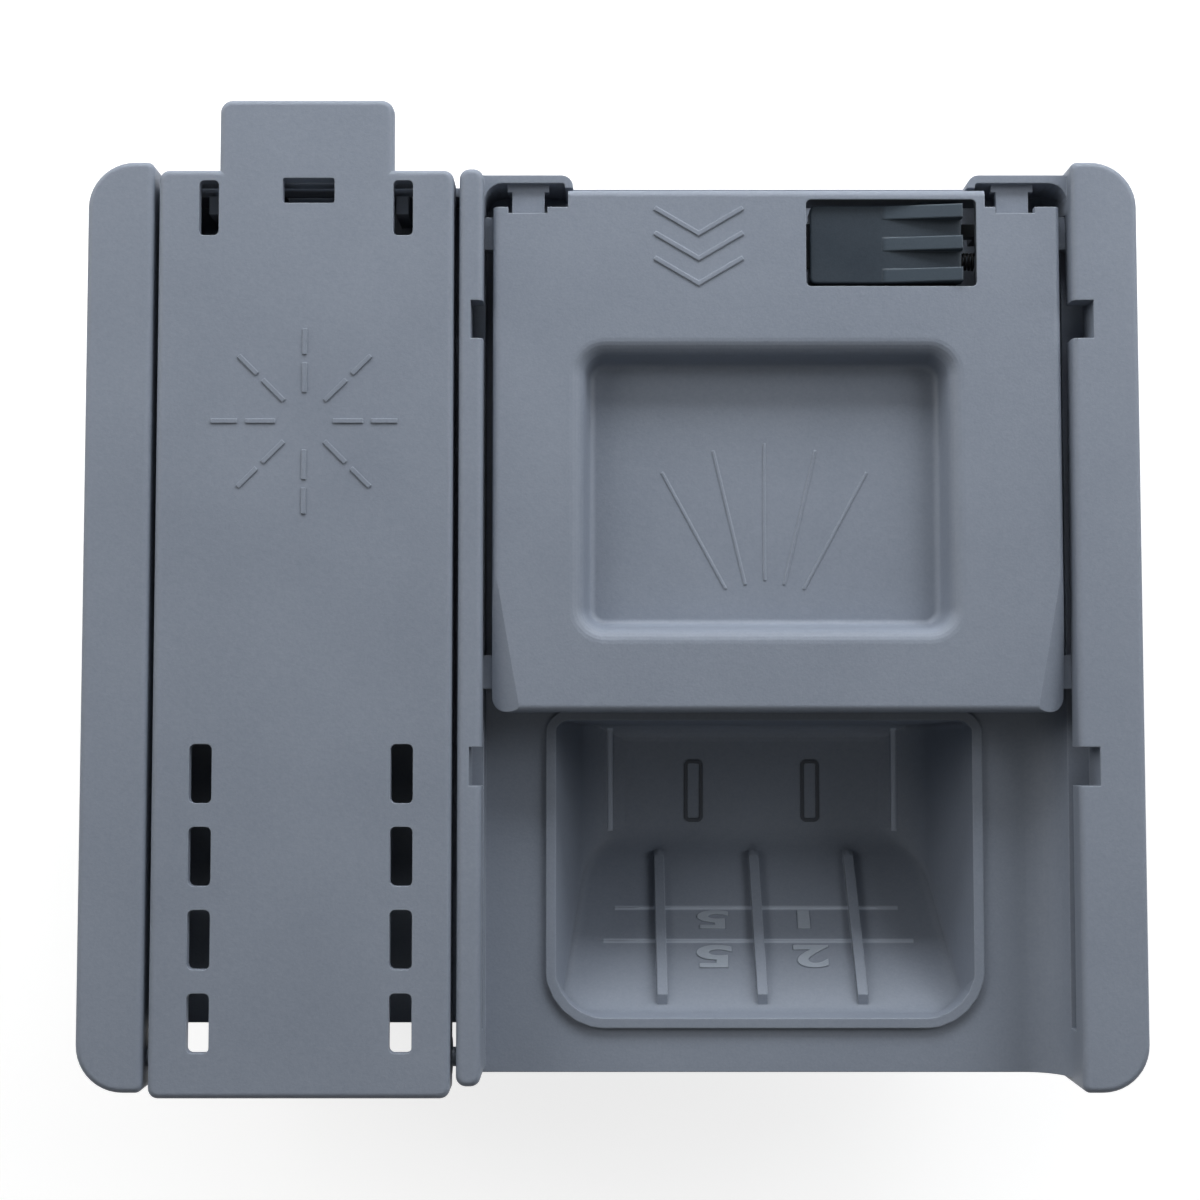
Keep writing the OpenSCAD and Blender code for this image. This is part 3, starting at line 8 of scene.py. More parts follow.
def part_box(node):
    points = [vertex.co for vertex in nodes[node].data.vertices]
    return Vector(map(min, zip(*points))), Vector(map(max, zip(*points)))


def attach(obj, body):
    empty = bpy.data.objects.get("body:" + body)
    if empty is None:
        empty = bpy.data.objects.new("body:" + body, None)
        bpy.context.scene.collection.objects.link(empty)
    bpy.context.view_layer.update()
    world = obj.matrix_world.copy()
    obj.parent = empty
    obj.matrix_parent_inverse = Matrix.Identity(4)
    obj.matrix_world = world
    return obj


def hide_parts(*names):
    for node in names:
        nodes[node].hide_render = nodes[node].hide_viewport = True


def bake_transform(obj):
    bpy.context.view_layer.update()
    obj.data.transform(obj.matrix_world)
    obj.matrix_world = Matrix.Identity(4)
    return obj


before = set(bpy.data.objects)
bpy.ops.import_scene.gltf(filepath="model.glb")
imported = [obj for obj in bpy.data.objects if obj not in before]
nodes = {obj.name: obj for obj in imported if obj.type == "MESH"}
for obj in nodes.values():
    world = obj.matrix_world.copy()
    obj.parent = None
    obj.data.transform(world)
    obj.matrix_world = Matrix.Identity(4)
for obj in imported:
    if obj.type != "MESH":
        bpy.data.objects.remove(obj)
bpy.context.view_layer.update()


# The room: the dispenser lies on its back on a plain white table, and the camera looks almost straight
# down on its front, from a third of a metre away, as in the photograph.
camera_height = 0.384
camera_tilt = radians(3.6)
camera_data = bpy.data.cameras.new("camera")
camera_data.sensor_width = 36.0
camera_data.lens = 62.0
camera_data.clip_start = 0.01
camera = bpy.data.objects.new("camera", camera_data)
camera.location = (-0.002, -0.02206, camera_height)
camera.rotation_euler = (camera_tilt, 0.0, 0.0)
bpy.context.scene.collection.objects.link(camera)
bpy.context.scene.camera = camera
bpy.context.scene.view_settings.view_transform = "Standard"


def wire(tree, kind, **values):
    """A node of that kind, with values for its named inputs; a socket as value is linked."""
    made = tree.nodes.new(kind)
    for name, value in values.items():
        socket = made.inputs[name.replace("_", " ")]
        if isinstance(value, bpy.types.NodeSocket):
            tree.links.new(value, socket)
        else:
            socket.default_value = value
    return made


def shader(name, **values):
    """A material with one Principled shader, whose plain numbers sit on its own sockets."""
    made = bpy.data.materials.new(name)
    made.use_nodes = True
    gloss = made.node_tree.nodes["Principled BSDF"]
    for socket, value in values.items():
        gloss.inputs[socket.replace("_", " ")].default_value = value
    return made, made.node_tree, gloss


def maths(tree, operation, a, b=0.5):
    """One Math node's result."""
    made = tree.nodes.new("ShaderNodeMath")
    made.operation = operation
    for socket, value in zip(made.inputs, (a, b)):
        if isinstance(value, bpy.types.NodeSocket):
            tree.links.new(value, socket)
        else:
            socket.default_value = value
    return made.outputs[0]


def rescaled(tree, value, low, high, new_low, new_high):
    """One Map Range node's result, clamped."""
    made = wire(tree, "ShaderNodeMapRange", Value=value)
    for name, number in (("From Min", low), ("From Max", high), ("To Min", new_low), ("To Max", new_high)):
        made.inputs[name].default_value = number
    return made.outputs["Result"]


def blended(tree, factor, first, second):
    """One colour Mix node's result."""
    made = tree.nodes.new("ShaderNodeMix")
    made.data_type = "RGBA"
    for socket, value in zip((made.inputs["Factor"], made.inputs[6], made.inputs[7]), (factor, first, second)):
        if isinstance(value, bpy.types.NodeSocket):
            tree.links.new(value, socket)
        else:
            socket.default_value = value
    return made.outputs[2]


table_white, table_tree, table_gloss = shader("table_white", Base_Color=(0.5, 0.5, 0.5, 1.0), Roughness=0.9)
table_gloss.inputs["Specular IOR Level"].default_value = 0.1
table_gloss.inputs["Emission Color"].default_value = (1.0, 1.0, 1.0, 1.0)
rays = table_tree.nodes.new("ShaderNodeLightPath")
seen = maths(table_tree, "MAXIMUM", rays.outputs["Is Camera Ray"], rays.outputs["Is Glossy Ray"])
seen = maths(table_tree, "MAXIMUM", seen, rays.outputs["Is Transmission Ray"])
table_tree.links.new(maths(table_tree, "MULTIPLY", seen, 0.76), table_gloss.inputs["Emission Strength"])

table_mesh = bmesh.new()
bmesh.ops.create_grid(table_mesh, x_segments=1, y_segments=1, size=4.0)
bmesh.ops.translate(table_mesh, verts=table_mesh.verts, vec=(0.0, 0.0, -0.0001))
table = bpy.data.objects.new("table", bpy.data.meshes.new("table"))
table_mesh.to_mesh(table.data)
table_mesh.free()
table.data.materials.append(table_white)
bpy.context.scene.collection.objects.link(table)

sky = bpy.data.worlds.new("room_light")
bpy.context.scene.world = sky
sky.use_nodes = True
sky.node_tree.nodes["Background"].inputs["Color"].default_value = (0.96, 0.98, 1.0, 1.0)
sky.node_tree.nodes["Background"].inputs["Strength"].default_value = 0.05

for lamp_name, place, aim, size, watts, tint in (
    ("window", (0.06, 0.6, 0.32), (0.0, 0.0, 0.05), (0.8, 0.24), 4.9, (0.95, 0.975, 1.0)),
    ("right_side", (0.6, 0.3, 0.42), (0.0, 0.0, 0.05), (0.4, 0.6), 2.8, (0.97, 0.985, 1.0)),
    ("left_side", (-0.62, 0.3, 0.39), (0.0, 0.0, 0.05), (0.4, 0.6), 2.5, (1.0, 0.99, 0.97)),
    ("front", (0.0, -0.42, 0.8), (0.0, 0.0, 0.05), (0.8, 0.4), 0.6, (1.0, 0.99, 0.95)),
):
    lamp_data = bpy.data.lights.new(lamp_name, "AREA")
    lamp_data.shape = "RECTANGLE"
    lamp_data.size, lamp_data.size_y = size
    lamp_data.energy = watts
    lamp_data.color = tint
    lamp = bpy.data.objects.new(lamp_name, lamp_data)
    lamp.location = place
    lamp.rotation_euler = (Vector(aim) - Vector(place)).to_track_quat("-Z", "Y").to_euler()
    bpy.context.scene.collection.objects.link(lamp)


# The front moulding and what is moulded in the same grey: cheeks, bay floors, rail and cup in one piece, the
# sliding lid with its inner plate, the rinse-aid cover and the cover behind. Glass-filled polypropylene
# with a spark-eroded matt skin.
def group(name, inputs, outputs):
    """An empty shader node group with float inputs and named outputs, and its two end nodes."""
    tree = bpy.data.node_groups.new(name, "ShaderNodeTree")
    for label, value in inputs:
        tree.interface.new_socket(name=label, in_out="INPUT", socket_type="NodeSocketFloat").default_value = value
    for label, kind in outputs:
        tree.interface.new_socket(name=label, in_out="OUTPUT", socket_type=kind)
    return tree, tree.nodes.new("NodeGroupInput"), tree.nodes.new("NodeGroupOutput")


# Fine pits of a spark-eroded mould, with slow cloudy variation in tone
mould_grain, grain_in, grain_out = group(
    "mould_grain", [("Size", 0.0004)],
    [("Height", "NodeSocketFloat"), ("Tone", "NodeSocketFloat"), ("Cloud", "NodeSocketFloat")])
where = mould_grain.nodes.new("ShaderNodeTexCoord").outputs["Object"]
per_metre = maths(mould_grain, "DIVIDE", 1.0, grain_in.outputs["Size"])
pits = wire(mould_grain, "ShaderNodeTexNoise", Vector=where, Scale=per_metre, Detail=3.0, Roughness=0.62)
coarse = wire(mould_grain, "ShaderNodeTexNoise", Vector=where, Scale=maths(mould_grain, "MULTIPLY", per_metre, 0.35),
              Detail=2.0, Roughness=0.5)
clouds = wire(mould_grain, "ShaderNodeTexNoise", Vector=where, Scale=38.0, Detail=3.0, Roughness=0.55)
mixed_pits = maths(mould_grain, "ADD", maths(mould_grain, "MULTIPLY", pits.outputs["Fac"], 0.7),
                   maths(mould_grain, "MULTIPLY", coarse.outputs["Fac"], 0.3))
mould_grain.links.new(mixed_pits, grain_out.inputs["Height"])
mould_grain.links.new(rescaled(mould_grain, mixed_pits, 0.32, 0.68, 0.0, 1.0), grain_out.inputs["Tone"])
mould_grain.links.new(rescaled(mould_grain, clouds.outputs["Fac"], 0.3, 0.7, 0.0, 1.0), grain_out.inputs["Cloud"])

# Edges that are a little round, and painted paler than the faces beside them: a painted highlight along the edges, with
# some rubbing wear
soft_edge, edge_in, edge_out = group(
    "soft_edge", [("Radius", 0.0003)], [("Normal", "NodeSocketVector"), ("Rub_and_highlight", "NodeSocketFloat")])
rounding = wire(soft_edge, "ShaderNodeBevel", Radius=edge_in.outputs["Radius"])
rounding.samples = 4
facing = soft_edge.nodes.new("ShaderNodeNewGeometry").outputs["Normal"]
agreement = soft_edge.nodes.new("ShaderNodeVectorMath")
agreement.operation = "DOT_PRODUCT"
soft_edge.links.new(rounding.outputs["Normal"], agreement.inputs[0])
soft_edge.links.new(facing, agreement.inputs[1])
soft_edge.links.new(rounding.outputs["Normal"], edge_out.inputs["Normal"])
# the paler band along edges is partly wear and partly a painted highlight
soft_edge.links.new(rescaled(soft_edge, agreement.outputs["Value"], 1.0, 0.86, 0.0, 1.0), edge_out.inputs["Rub_and_highlight"])


def moulded(name, colour, pale_tone, grain, depth, edge, gloss=(0.5, 0.62), places=None, **values):
    """A moulded plastic: its colour, the paler tone of grain tops and of edges painted paler as a highlight, grain size
    and depth, edge radius. Places is a group of masks for where its edges are softer, where a highlight is painted and
    where shade is painted."""
    made, tree, face = shader(name, **values)
    pitted = tree.nodes.new("ShaderNodeGroup")
    pitted.node_tree = mould_grain
    pitted.inputs["Size"].default_value = grain
    rounded = tree.nodes.new("ShaderNodeGroup")
    rounded.node_tree = soft_edge
    rounded.inputs["Radius"].default_value = edge
    tone = maths(tree, "MULTIPLY", pitted.outputs["Tone"], 0.16)
    cloud = maths(tree, "MULTIPLY", pitted.outputs["Cloud"], 0.1)
    # edges painted paler: partly wear, partly a painted highlight
    rub_and_highlight = maths(tree, "MULTIPLY", rounded.outputs["Rub_and_highlight"], 0.5)
    if places:
        spots = tree.nodes.new("ShaderNodeGroup")
        spots.node_tree = places
        tree.links.new(rescaled(tree, spots.outputs["Soft"], 0.0, 1.0, edge, 0.0026), rounded.inputs["Radius"])
        rub_and_highlight = maths(tree, "MULTIPLY", rub_and_highlight, maths(tree, "SUBTRACT", 1.0, spots.outputs["Soft"]))
    mask = maths(tree, "ADD", maths(tree, "ADD", tone, cloud), rub_and_highlight)
    skin = blended(tree, mask, (*colour, 1.0), (*pale_tone, 1.0))
    if places:
        # places painted paler as a highlight, then places painted darker as shade
        highlight_tone = tuple(1.35 * part for part in pale_tone)
        skin = blended(tree, spots.outputs["Painted_highlight"], skin, (*highlight_tone, 1.0))
        shade_tone = tuple(0.3 * part for part in colour)
        skin = blended(tree, spots.outputs["Painted_shade"], skin, (*shade_tone, 1.0))
    tree.links.new(skin, face.inputs["Base Color"])
    tree.links.new(rescaled(tree, pitted.outputs["Cloud"], 0.0, 1.0, *gloss), face.inputs["Roughness"])
    relief = wire(tree, "ShaderNodeBump", Height=pitted.outputs["Height"], Normal=rounded.outputs["Normal"])
    relief.inputs["Strength"].default_value = 0.7
    relief.inputs["Distance"].default_value = depth
    tree.links.new(relief.outputs["Normal"], face.inputs["Normal"])
    return made


def dress(material, *names):
    """Gives CAD nodes that material."""
    for name in names:
        for place in nodes[name].material_slots:
            place.material = material


grey_skin = (0.196, 0.224, 0.276), (0.36, 0.4, 0.47), 0.00042, 0.00006
grey = moulded("grey_polypropylene", *grey_skin, 0.00028)
dress(grey, "rear_cover")


# The rinse-aid cover: the same grey polypropylene, in a tool with sharper edges, so that the rays of its star
# stay fine.
cover_grey = moulded("grey_polypropylene_cover", *grey_skin, 0.00018)
dress(cover_grey, "rinse_cover")


# The chassis with its cup, in one moulding. The cup's corners are well rounded so that no powder stays in
# them. Its fill lines and slide beads are painted pale as a highlight, and the grooves round its two pads and the latch
# pocket are painted dark as shade.
ramp_slope = radians(41.7)
ramp_foot = Vector((0.0, -0.041414, 0.0128))
cup_middle = 0.0251
cup_places, _, places_out = group(
    "cup_places", [], [("Soft", "NodeSocketFloat"), ("Painted_highlight", "NodeSocketFloat"), ("Painted_shade", "NodeSocketFloat")])
cup_point = wire(cup_places, "ShaderNodeSeparateXYZ",
                 Vector=cup_places.nodes.new("ShaderNodeTexCoord").outputs["Object"]).outputs


def away(value, centre):
    """How far a coordinate in the cup lies from a value."""
    return maths(cup_places, "ABSOLUTE", maths(cup_places, "SUBTRACT", value, centre))


def step_down(value, limit, soft=0.00012):
    """1 below the limit, and 0 a little above it."""
    return rescaled(cup_places, value, limit - soft, limit + soft, 1.0, 0.0)


def every(*masks):
    """Where all the masks hold."""
    made = masks[0]
    for mask in masks[1:]:
        made = maths(cup_places, "MULTIPLY", made, mask)
    return made


def either(*masks):
    """Where one of the masks holds."""
    made = masks[0]
    for mask in masks[1:]:
        made = maths(cup_places, "MAXIMUM", made, mask)
    return made


from_middle = away(cup_point["X"], cup_middle)
up_ramp = maths(cup_places, "SUBTRACT", ramp_foot.y, cup_point["Y"])
above_ramp = maths(cup_places, "SUBTRACT",
                   maths(cup_places, "MULTIPLY", maths(cup_places, "SUBTRACT", cup_point["Z"], ramp_foot.z), cos(ramp_slope)),
                   maths(cup_places, "MULTIPLY", up_ramp, sin(ramp_slope)))
in_cup = every(step_down(from_middle, 0.0352), step_down(away(cup_point["Y"], -0.04485), 0.0253),
               step_down(away(cup_point["Z"], 0.0245), 0.0135))
beside_ribs = rescaled(cup_places, from_middle, 0.0205, 0.0225, 0.0, 1.0)
beside_beads = rescaled(cup_places, from_middle, 0.0268, 0.0276, 0.0, 1.0)
on_slope = rescaled(cup_places, up_ramp, -0.0008, 0.0004, 0.0, 1.0)
foot_band = every(step_down(away(up_ramp, 0.0008), 0.0026), step_down(cup_point["Z"], 0.0172))
soft_places = every(in_cup, either(every(beside_ribs, on_slope), beside_beads, foot_band))
cup_places.links.new(soft_places, places_out.inputs["Soft"])
# fill lines and bead tops painted paler than the ramp: a painted highlight
fill_lines = [every(step_down(away(up_ramp, (0.41 * 0.036679 + 0.00025) * cos(ramp_slope)), 0.0003),
                    step_down(from_middle, 0.0245)),
              every(step_down(away(up_ramp, (0.6 * 0.036679 + 0.00025) * cos(ramp_slope)), 0.0003),
                    step_down(from_middle, 0.0265))]
bead_tops = every(step_down(away(from_middle, 0.0253), 0.0005), step_down(away(cup_point["Z"], 0.0138), 0.0004),
                  step_down(away(cup_point["Y"], -0.0309), 0.0092))
highlight_places = either(every(either(*fill_lines), step_down(away(above_ramp, 0.0001), 0.0004)), bead_tops)
cup_places.links.new(maths(cup_places, "MULTIPLY", highlight_places, 0.8), places_out.inputs["Painted_highlight"])
# dark rings round the two pads: painted shade in their grooves
pad_round = 0.0007
pad_x = maths(cup_places, "MAXIMUM", maths(cup_places, "SUBTRACT", away(from_middle, 0.0104), 0.00135 - pad_round), 0.0)
pad_y = maths(cup_places, "MAXIMUM", maths(cup_places, "SUBTRACT", away(cup_point["Y"], -0.0329), 0.0052 - pad_round), 0.0)
from_corner = maths(cup_places, "POWER", maths(cup_places, "ADD", maths(cup_places, "MULTIPLY", pad_x, pad_x),
                                               maths(cup_places, "MULTIPLY", pad_y, pad_y)), 0.5)
pad_groove_shade = every(step_down(away(from_corner, pad_round), 0.00034, 0.0001), step_down(cup_point["Z"], 0.0138))
# the latch pocket painted dark: painted shade
latch_pocket = every(step_down(away(cup_point["X"], -0.0495), 0.006, 0.0002), step_down(away(cup_point["Y"], 0.0645), 0.0023, 0.0002))
cup_places.links.new(maths(cup_places, "MULTIPLY", either(pad_groove_shade, latch_pocket), 0.92), places_out.inputs["Painted_shade"])
chassis_grey = moulded("grey_polypropylene_chassis", *grey_skin, 0.00028, places=cup_places)
dress(chassis_grey, "front_chassis")


# The sliding lid and its inner plate: grey polypropylene again, snapped together round the seal. The walls of
# the button's window below the lid's face are painted dark: painted shade.
lid_places, _, lid_out = group(
    "lid_places", [], [("Soft", "NodeSocketFloat"), ("Painted_highlight", "NodeSocketFloat"), ("Painted_shade", "NodeSocketFloat")])
lid_point = wire(lid_places, "ShaderNodeSeparateXYZ",
                 Vector=lid_places.nodes.new("ShaderNodeTexCoord").outputs["Object"]).outputs
# window walls below the lid's face painted dark: painted shade
window_sides = []
for axis, centre, half in (("X", 0.0457, 0.0146), ("Y", 0.057, 0.00735), ("Z", 0.047, 0.005)):
    from_window = maths(lid_places, "ABSOLUTE", maths(lid_places, "SUBTRACT", lid_point[axis], centre))
    window_sides.append(rescaled(lid_places, from_window, half, half + 0.0002, 1.0, 0.0))
in_window = maths(lid_places, "MULTIPLY", maths(lid_places, "MULTIPLY", window_sides[0], window_sides[1]), window_sides[2])
lid_places.links.new(maths(lid_places, "MULTIPLY", in_window, 0.95), lid_out.inputs["Painted_shade"])
lid_grey = moulded("grey_polypropylene_lid", *grey_skin, 0.00028, places=lid_places)
dress(lid_grey, "lid_cover", "lid_plate")


# Numbers of the fill lines in the cup: 15 and 25 millilitres, raised on the ramp on both sides of the middle
# rib, to be read from above the door. Moulded with the chassis, and painted paler as a highlight, as the lines are.
# a paler grey than the chassis: a painted highlight on the raised digits
digit_grey = moulded("grey_polypropylene_highlight", (0.3, 0.34, 0.4), (0.46, 0.51, 0.58), 0.00042, 0.00003, 0.0002)
for digit_name, digit, across, along, wide, high in (
    ("fifteen_one", "1", 0.0331, 0.0179, 0.0021, 0.0038),
    ("fifteen_five", "5", 0.01745, 0.0179, 0.0054, 0.0038),
    ("twenty_five_two", "2", 0.0339, 0.0256, 0.006, 0.0046),
    ("twenty_five_five", "5", 0.0174, 0.0256, 0.006, 0.0046),
):
    outline = bpy.data.curves.new(digit_name, "FONT")
    outline.body = digit
    outline.align_x = "CENTER"
    outline.align_y = "CENTER"
    outline.size = 0.006
    outline.offset = 0.00012
    outline.extrude = 0.00022
    outline.bevel_depth = 0.00005
    letter = bpy.data.objects.new(digit_name, outline)
    bpy.context.scene.collection.objects.link(letter)
    bpy.context.view_layer.update()
    flat = bpy.data.meshes.new_from_object(letter.evaluated_get(bpy.context.evaluated_depsgraph_get()))
    bpy.data.objects.remove(letter)
    spans = [[corner.co[axis] for corner in flat.vertices] for axis in (0, 1)]
    middle = [(min(span) + max(span)) / 2 for span in spans]
    widths = [max(span) - min(span) for span in spans]
    flat.transform(Matrix.Diagonal((wide / widths[0], high / widths[1], 1.0, 1.0))
                   @ Matrix.Translation((-middle[0], -middle[1], 0.0)))
    spot = ramp_foot + along * Vector((0.0, -cos(ramp_slope), sin(ramp_slope)))
    spot.x = across
    # turned half round to face the reader, then laid on the ramp, which rises towards -Y
    flat.transform(Matrix.Translation(spot) @ Matrix.Rotation(-ramp_slope, 4, "X") @ Matrix.Rotation(pi, 4, "Z"))
    number = bpy.data.objects.new(digit_name, flat)
    bpy.context.scene.collection.objects.link(number)
    flat.materials.clear()
    flat.materials.append(digit_grey)
    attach(number, "chassis")


# Latch button, dial, rocker, float and stem: a darker slate-coloured acetal that slides well, smoother than
# the grey mouldings; the latch button's rib tops are painted paler below, as a highlight.
slate = moulded("slate_acetal", (0.03, 0.045, 0.07), (0.1, 0.13, 0.17), 0.0003, 0.00003, 0.0002, gloss=(0.36, 0.5))
dress(slate, "dosing_dial", "level_float", "dosing_stem", "latch_rocker")


# Latch button: darker acetal. Its thumb face is a cap pressed over the button's body, with three wedge-shaped
# grip ribs that rise to the right, painted paler along their tops as a highlight; the body below the cap is painted
# dark as shade.
button_places, _, button_out = group(
    "button_places", [], [("Soft", "NodeSocketFloat"), ("Painted_highlight", "NodeSocketFloat"), ("Painted_shade", "NodeSocketFloat")])
button_point = wire(button_places, "ShaderNodeSeparateXYZ",
                    Vector=button_places.nodes.new("ShaderNodeTexCoord").outputs["Object"]).outputs
cap_face, rib_left, rib_pitch, rib_half = 0.0512, 0.0439, 0.0052, 0.00115
cap_left, cap_right, cap_middle, cap_half = 0.03225, 0.05697, 0.057, 0.0064
# rib crests painted paler: a painted highlight
rib_crests = rescaled(button_places, button_point["Z"], cap_face + 0.00002, cap_face + 0.00012, 0.0, 0.3)
button_places.links.new(rib_crests, button_out.inputs["Painted_highlight"])
# the button's body below the cap painted dark: painted shade
below_face = rescaled(button_places, button_point["Z"], cap_face - 0.0007, cap_face - 0.0003, 0.9, 0.0)
button_places.links.new(below_face, button_out.inputs["Painted_shade"])
button_slate = moulded("slate_acetal_button", (0.018, 0.028, 0.041), (0.07, 0.095, 0.12), 0.0003, 0.00003, 0.00025,
                       gloss=(0.42, 0.55), places=button_places)
dress(button_slate, "latch_button")
cap = bmesh.new()
bmesh.ops.create_cube(cap, size=1.0)
bmesh.ops.scale(cap, verts=cap.verts, vec=(cap_right - cap_left, 2 * cap_half, 0.0016))
bmesh.ops.translate(cap, verts=cap.verts, vec=((cap_left + cap_right) / 2, cap_middle, cap_face - 0.0008))
bmesh.ops.bevel(cap, geom=[e for e in cap.edges if abs(e.verts[0].co.z - e.verts[1].co.z) > 0.001],
                offset=0.0009, segments=5, profile=0.5, affect="EDGES", material=-1)
bmesh.ops.bevel(cap, geom=[e for e in cap.edges if all(v.co.z > cap_face - 0.00001 for v in e.verts)],
                offset=0.0003, segments=3, profile=0.5, affect="EDGES", material=-1)
for rib_number in (-1, 0, 1):
    rib = bmesh.ops.create_cube(cap, size=1.0)["verts"]
    bmesh.ops.scale(cap, verts=rib, vec=(cap_right - rib_left - 0.0001, 2 * rib_half, 0.0012))
    bmesh.ops.translate(cap, verts=rib, vec=((rib_left + cap_right) / 2, cap_middle + rib_number * rib_pitch,
                                             cap_face - 0.0006))
    crest_end = [v for v in rib if v.co.x > rib_left + 0.002 and v.co.z > cap_face - 0.0001]
    bmesh.ops.translate(cap, verts=crest_end, vec=(0.0, 0.0, 0.0019))
    crest = [e for e in cap.edges if all(v in rib and v.co.z > cap_face - 0.0001 for v in e.verts)]
    bmesh.ops.bevel(cap, geom=crest, offset=0.00018, segments=2, profile=0.5, affect="EDGES", material=-1)
cap_mesh = bpy.data.meshes.new("button_cap")
cap.to_mesh(cap_mesh)
cap.free()
button_cap = bpy.data.objects.new("button_cap", cap_mesh)
cap_mesh.materials.append(button_slate)
bpy.context.scene.collection.objects.link(button_cap)
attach(button_cap, "button")


# Reservoir, barrel, bobbin and strainer: natural polypropylene, milky and slightly see-through at its edges.
natural = moulded("natural_polypropylene", (0.55, 0.56, 0.52), (0.7, 0.71, 0.67), 0.0009, 0.00003, 0.0004,
                  gloss=(0.32, 0.45), Subsurface_Weight=0.25, Subsurface_Scale=0.004)
dress(natural, "reservoir_tub", "dosing_barrel", "coil_bobbin", "filler_strainer")


# Seals: black rubber, moulded, with a dull bloom and dust in its pores.
black = moulded("black_rubber", (0.012, 0.012, 0.013), (0.05, 0.05, 0.052), 0.0006, 0.00005, 0.0003, gloss=(0.6, 0.8))
dress(black, "lid_seal", "cover_seal", "dial_ring", "panel_gasket", "reed_switch")


# Yoke, plunger and clips: bright steel strip and bar, with fine drawing lines along it.
drawn_lines, lines_in, lines_out = group(
    "drawn_lines", [("Fineness", 9000.0)], [("Height", "NodeSocketFloat"), ("Streak", "NodeSocketFloat")])
along_y = wire(drawn_lines, "ShaderNodeMapping",
               Vector=drawn_lines.nodes.new("ShaderNodeTexCoord").outputs["Object"], Scale=(1.0, 0.03, 1.0))
streaks = wire(drawn_lines, "ShaderNodeTexNoise", Vector=along_y.outputs["Vector"],
               Scale=lines_in.outputs["Fineness"], Detail=2.0, Roughness=0.6)
drawn_lines.links.new(streaks.outputs["Fac"], lines_out.inputs["Height"])
drawn_lines.links.new(rescaled(drawn_lines, streaks.outputs["Fac"], 0.3, 0.7, 0.0, 1.0), lines_out.inputs["Streak"])


def drawn_metal(name, dark, pale, fineness, depth, rough):
    """A bright drawn metal: its darker and paler streaks, their fineness, depth and roughness range."""
    made, tree, face = shader(name, Metallic=1.0)
    drawn = tree.nodes.new("ShaderNodeGroup")
    drawn.node_tree = drawn_lines
    drawn.inputs["Fineness"].default_value = fineness
    rounded = tree.nodes.new("ShaderNodeGroup")
    rounded.node_tree = soft_edge
    rounded.inputs["Radius"].default_value = 0.00012
    tree.links.new(blended(tree, drawn.outputs["Streak"], (*dark, 1.0), (*pale, 1.0)), face.inputs["Base Color"])
    tree.links.new(rescaled(tree, drawn.outputs["Streak"], 0.0, 1.0, *rough), face.inputs["Roughness"])
    relief = wire(tree, "ShaderNodeBump", Height=drawn.outputs["Height"], Normal=rounded.outputs["Normal"])
    relief.inputs["Strength"].default_value = 0.4
    relief.inputs["Distance"].default_value = depth
    tree.links.new(relief.outputs["Normal"], face.inputs["Normal"])
    return made


steel = drawn_metal("bright_steel", (0.46, 0.47, 0.48), (0.68, 0.69, 0.7), 9000.0, 0.00001, (0.24, 0.4))
dress(steel, "yoke_frame", "solenoid_plunger", "fixing_clips")
brass = drawn_metal("tab_brass", (0.6, 0.45, 0.2), (0.78, 0.62, 0.3), 7000.0, 0.00001, (0.26, 0.42))
dress(brass, "terminal_tabs")


# Winding: enamelled copper wire of 0.2 mm, laid turn beside turn on the bobbin.
copper, copper_tree, copper_face = shader("enamelled_copper", Metallic=1.0, Roughness=0.3)
turns = wire(copper_tree, "ShaderNodeTexWave",
             Vector=copper_tree.nodes.new("ShaderNodeTexCoord").outputs["Object"], Scale=800.0, Distortion=0.4)
turns.bands_direction = "Y"
copper_tree.links.new(blended(copper_tree, turns.outputs["Fac"], (0.3, 0.1, 0.03, 1.0), (0.66, 0.3, 0.13, 1.0)),
                      copper_face.inputs["Base Color"])
turn_relief = wire(copper_tree, "ShaderNodeBump", Height=turns.outputs["Fac"], Strength=0.8)
turn_relief.inputs["Distance"].default_value = 0.0001
copper_tree.links.new(turn_relief.outputs["Normal"], copper_face.inputs["Normal"])
dress(copper, "coil_winding")


# Lid springs: two close-wound extension springs of 0.8 mm wire, with a hook at each end, one over the peg on
# the chassis and one over the peg under the lid. They push the lid open and stretch when it is shut.
def screwed(mesh, centre, axis, radius, wire_r, rise, turns, steps, first=None):
    """Coils of wire round an axis: a small circle, spun and moved along the axis at every step."""
    axis = Vector(axis)
    side = Vector(first) if first else axis.orthogonal().normalized()
    turn = Matrix((side, axis, side.cross(axis))).transposed().to_4x4()
    ring = bmesh.ops.create_circle(mesh, cap_ends=False, radius=wire_r, segments=8)["verts"]
    # the circle is made in the plane of the side and the axis, a radius out from the centre
    bmesh.ops.transform(mesh, verts=ring, matrix=Matrix.Translation(Vector(centre) + side * radius) @ turn)
    edges = list({e for v in ring for e in v.link_edges})
    made = bmesh.ops.spin(mesh, geom=ring + edges, cent=centre, axis=axis, dvec=axis * (rise / steps),
                          angle=2 * pi * turns, steps=int(turns * steps), use_duplicate=False)
    return ring, made["geom_last"]


def finished(mesh, name, material):
    """Closes the ends, turns faces outwards and makes the object."""
    open_rims = [e for e in mesh.edges if e.is_boundary]
    bmesh.ops.holes_fill(mesh, edges=open_rims, sides=16)
    bmesh.ops.recalc_face_normals(mesh, faces=mesh.faces)
    for face in mesh.faces:
        face.smooth = True
    made = bpy.data.objects.new(name, bpy.data.meshes.new(name))
    mesh.to_mesh(made.data)
    mesh.free()
    made.data.materials.append(material)
    bpy.context.scene.collection.objects.link(made)
    return made


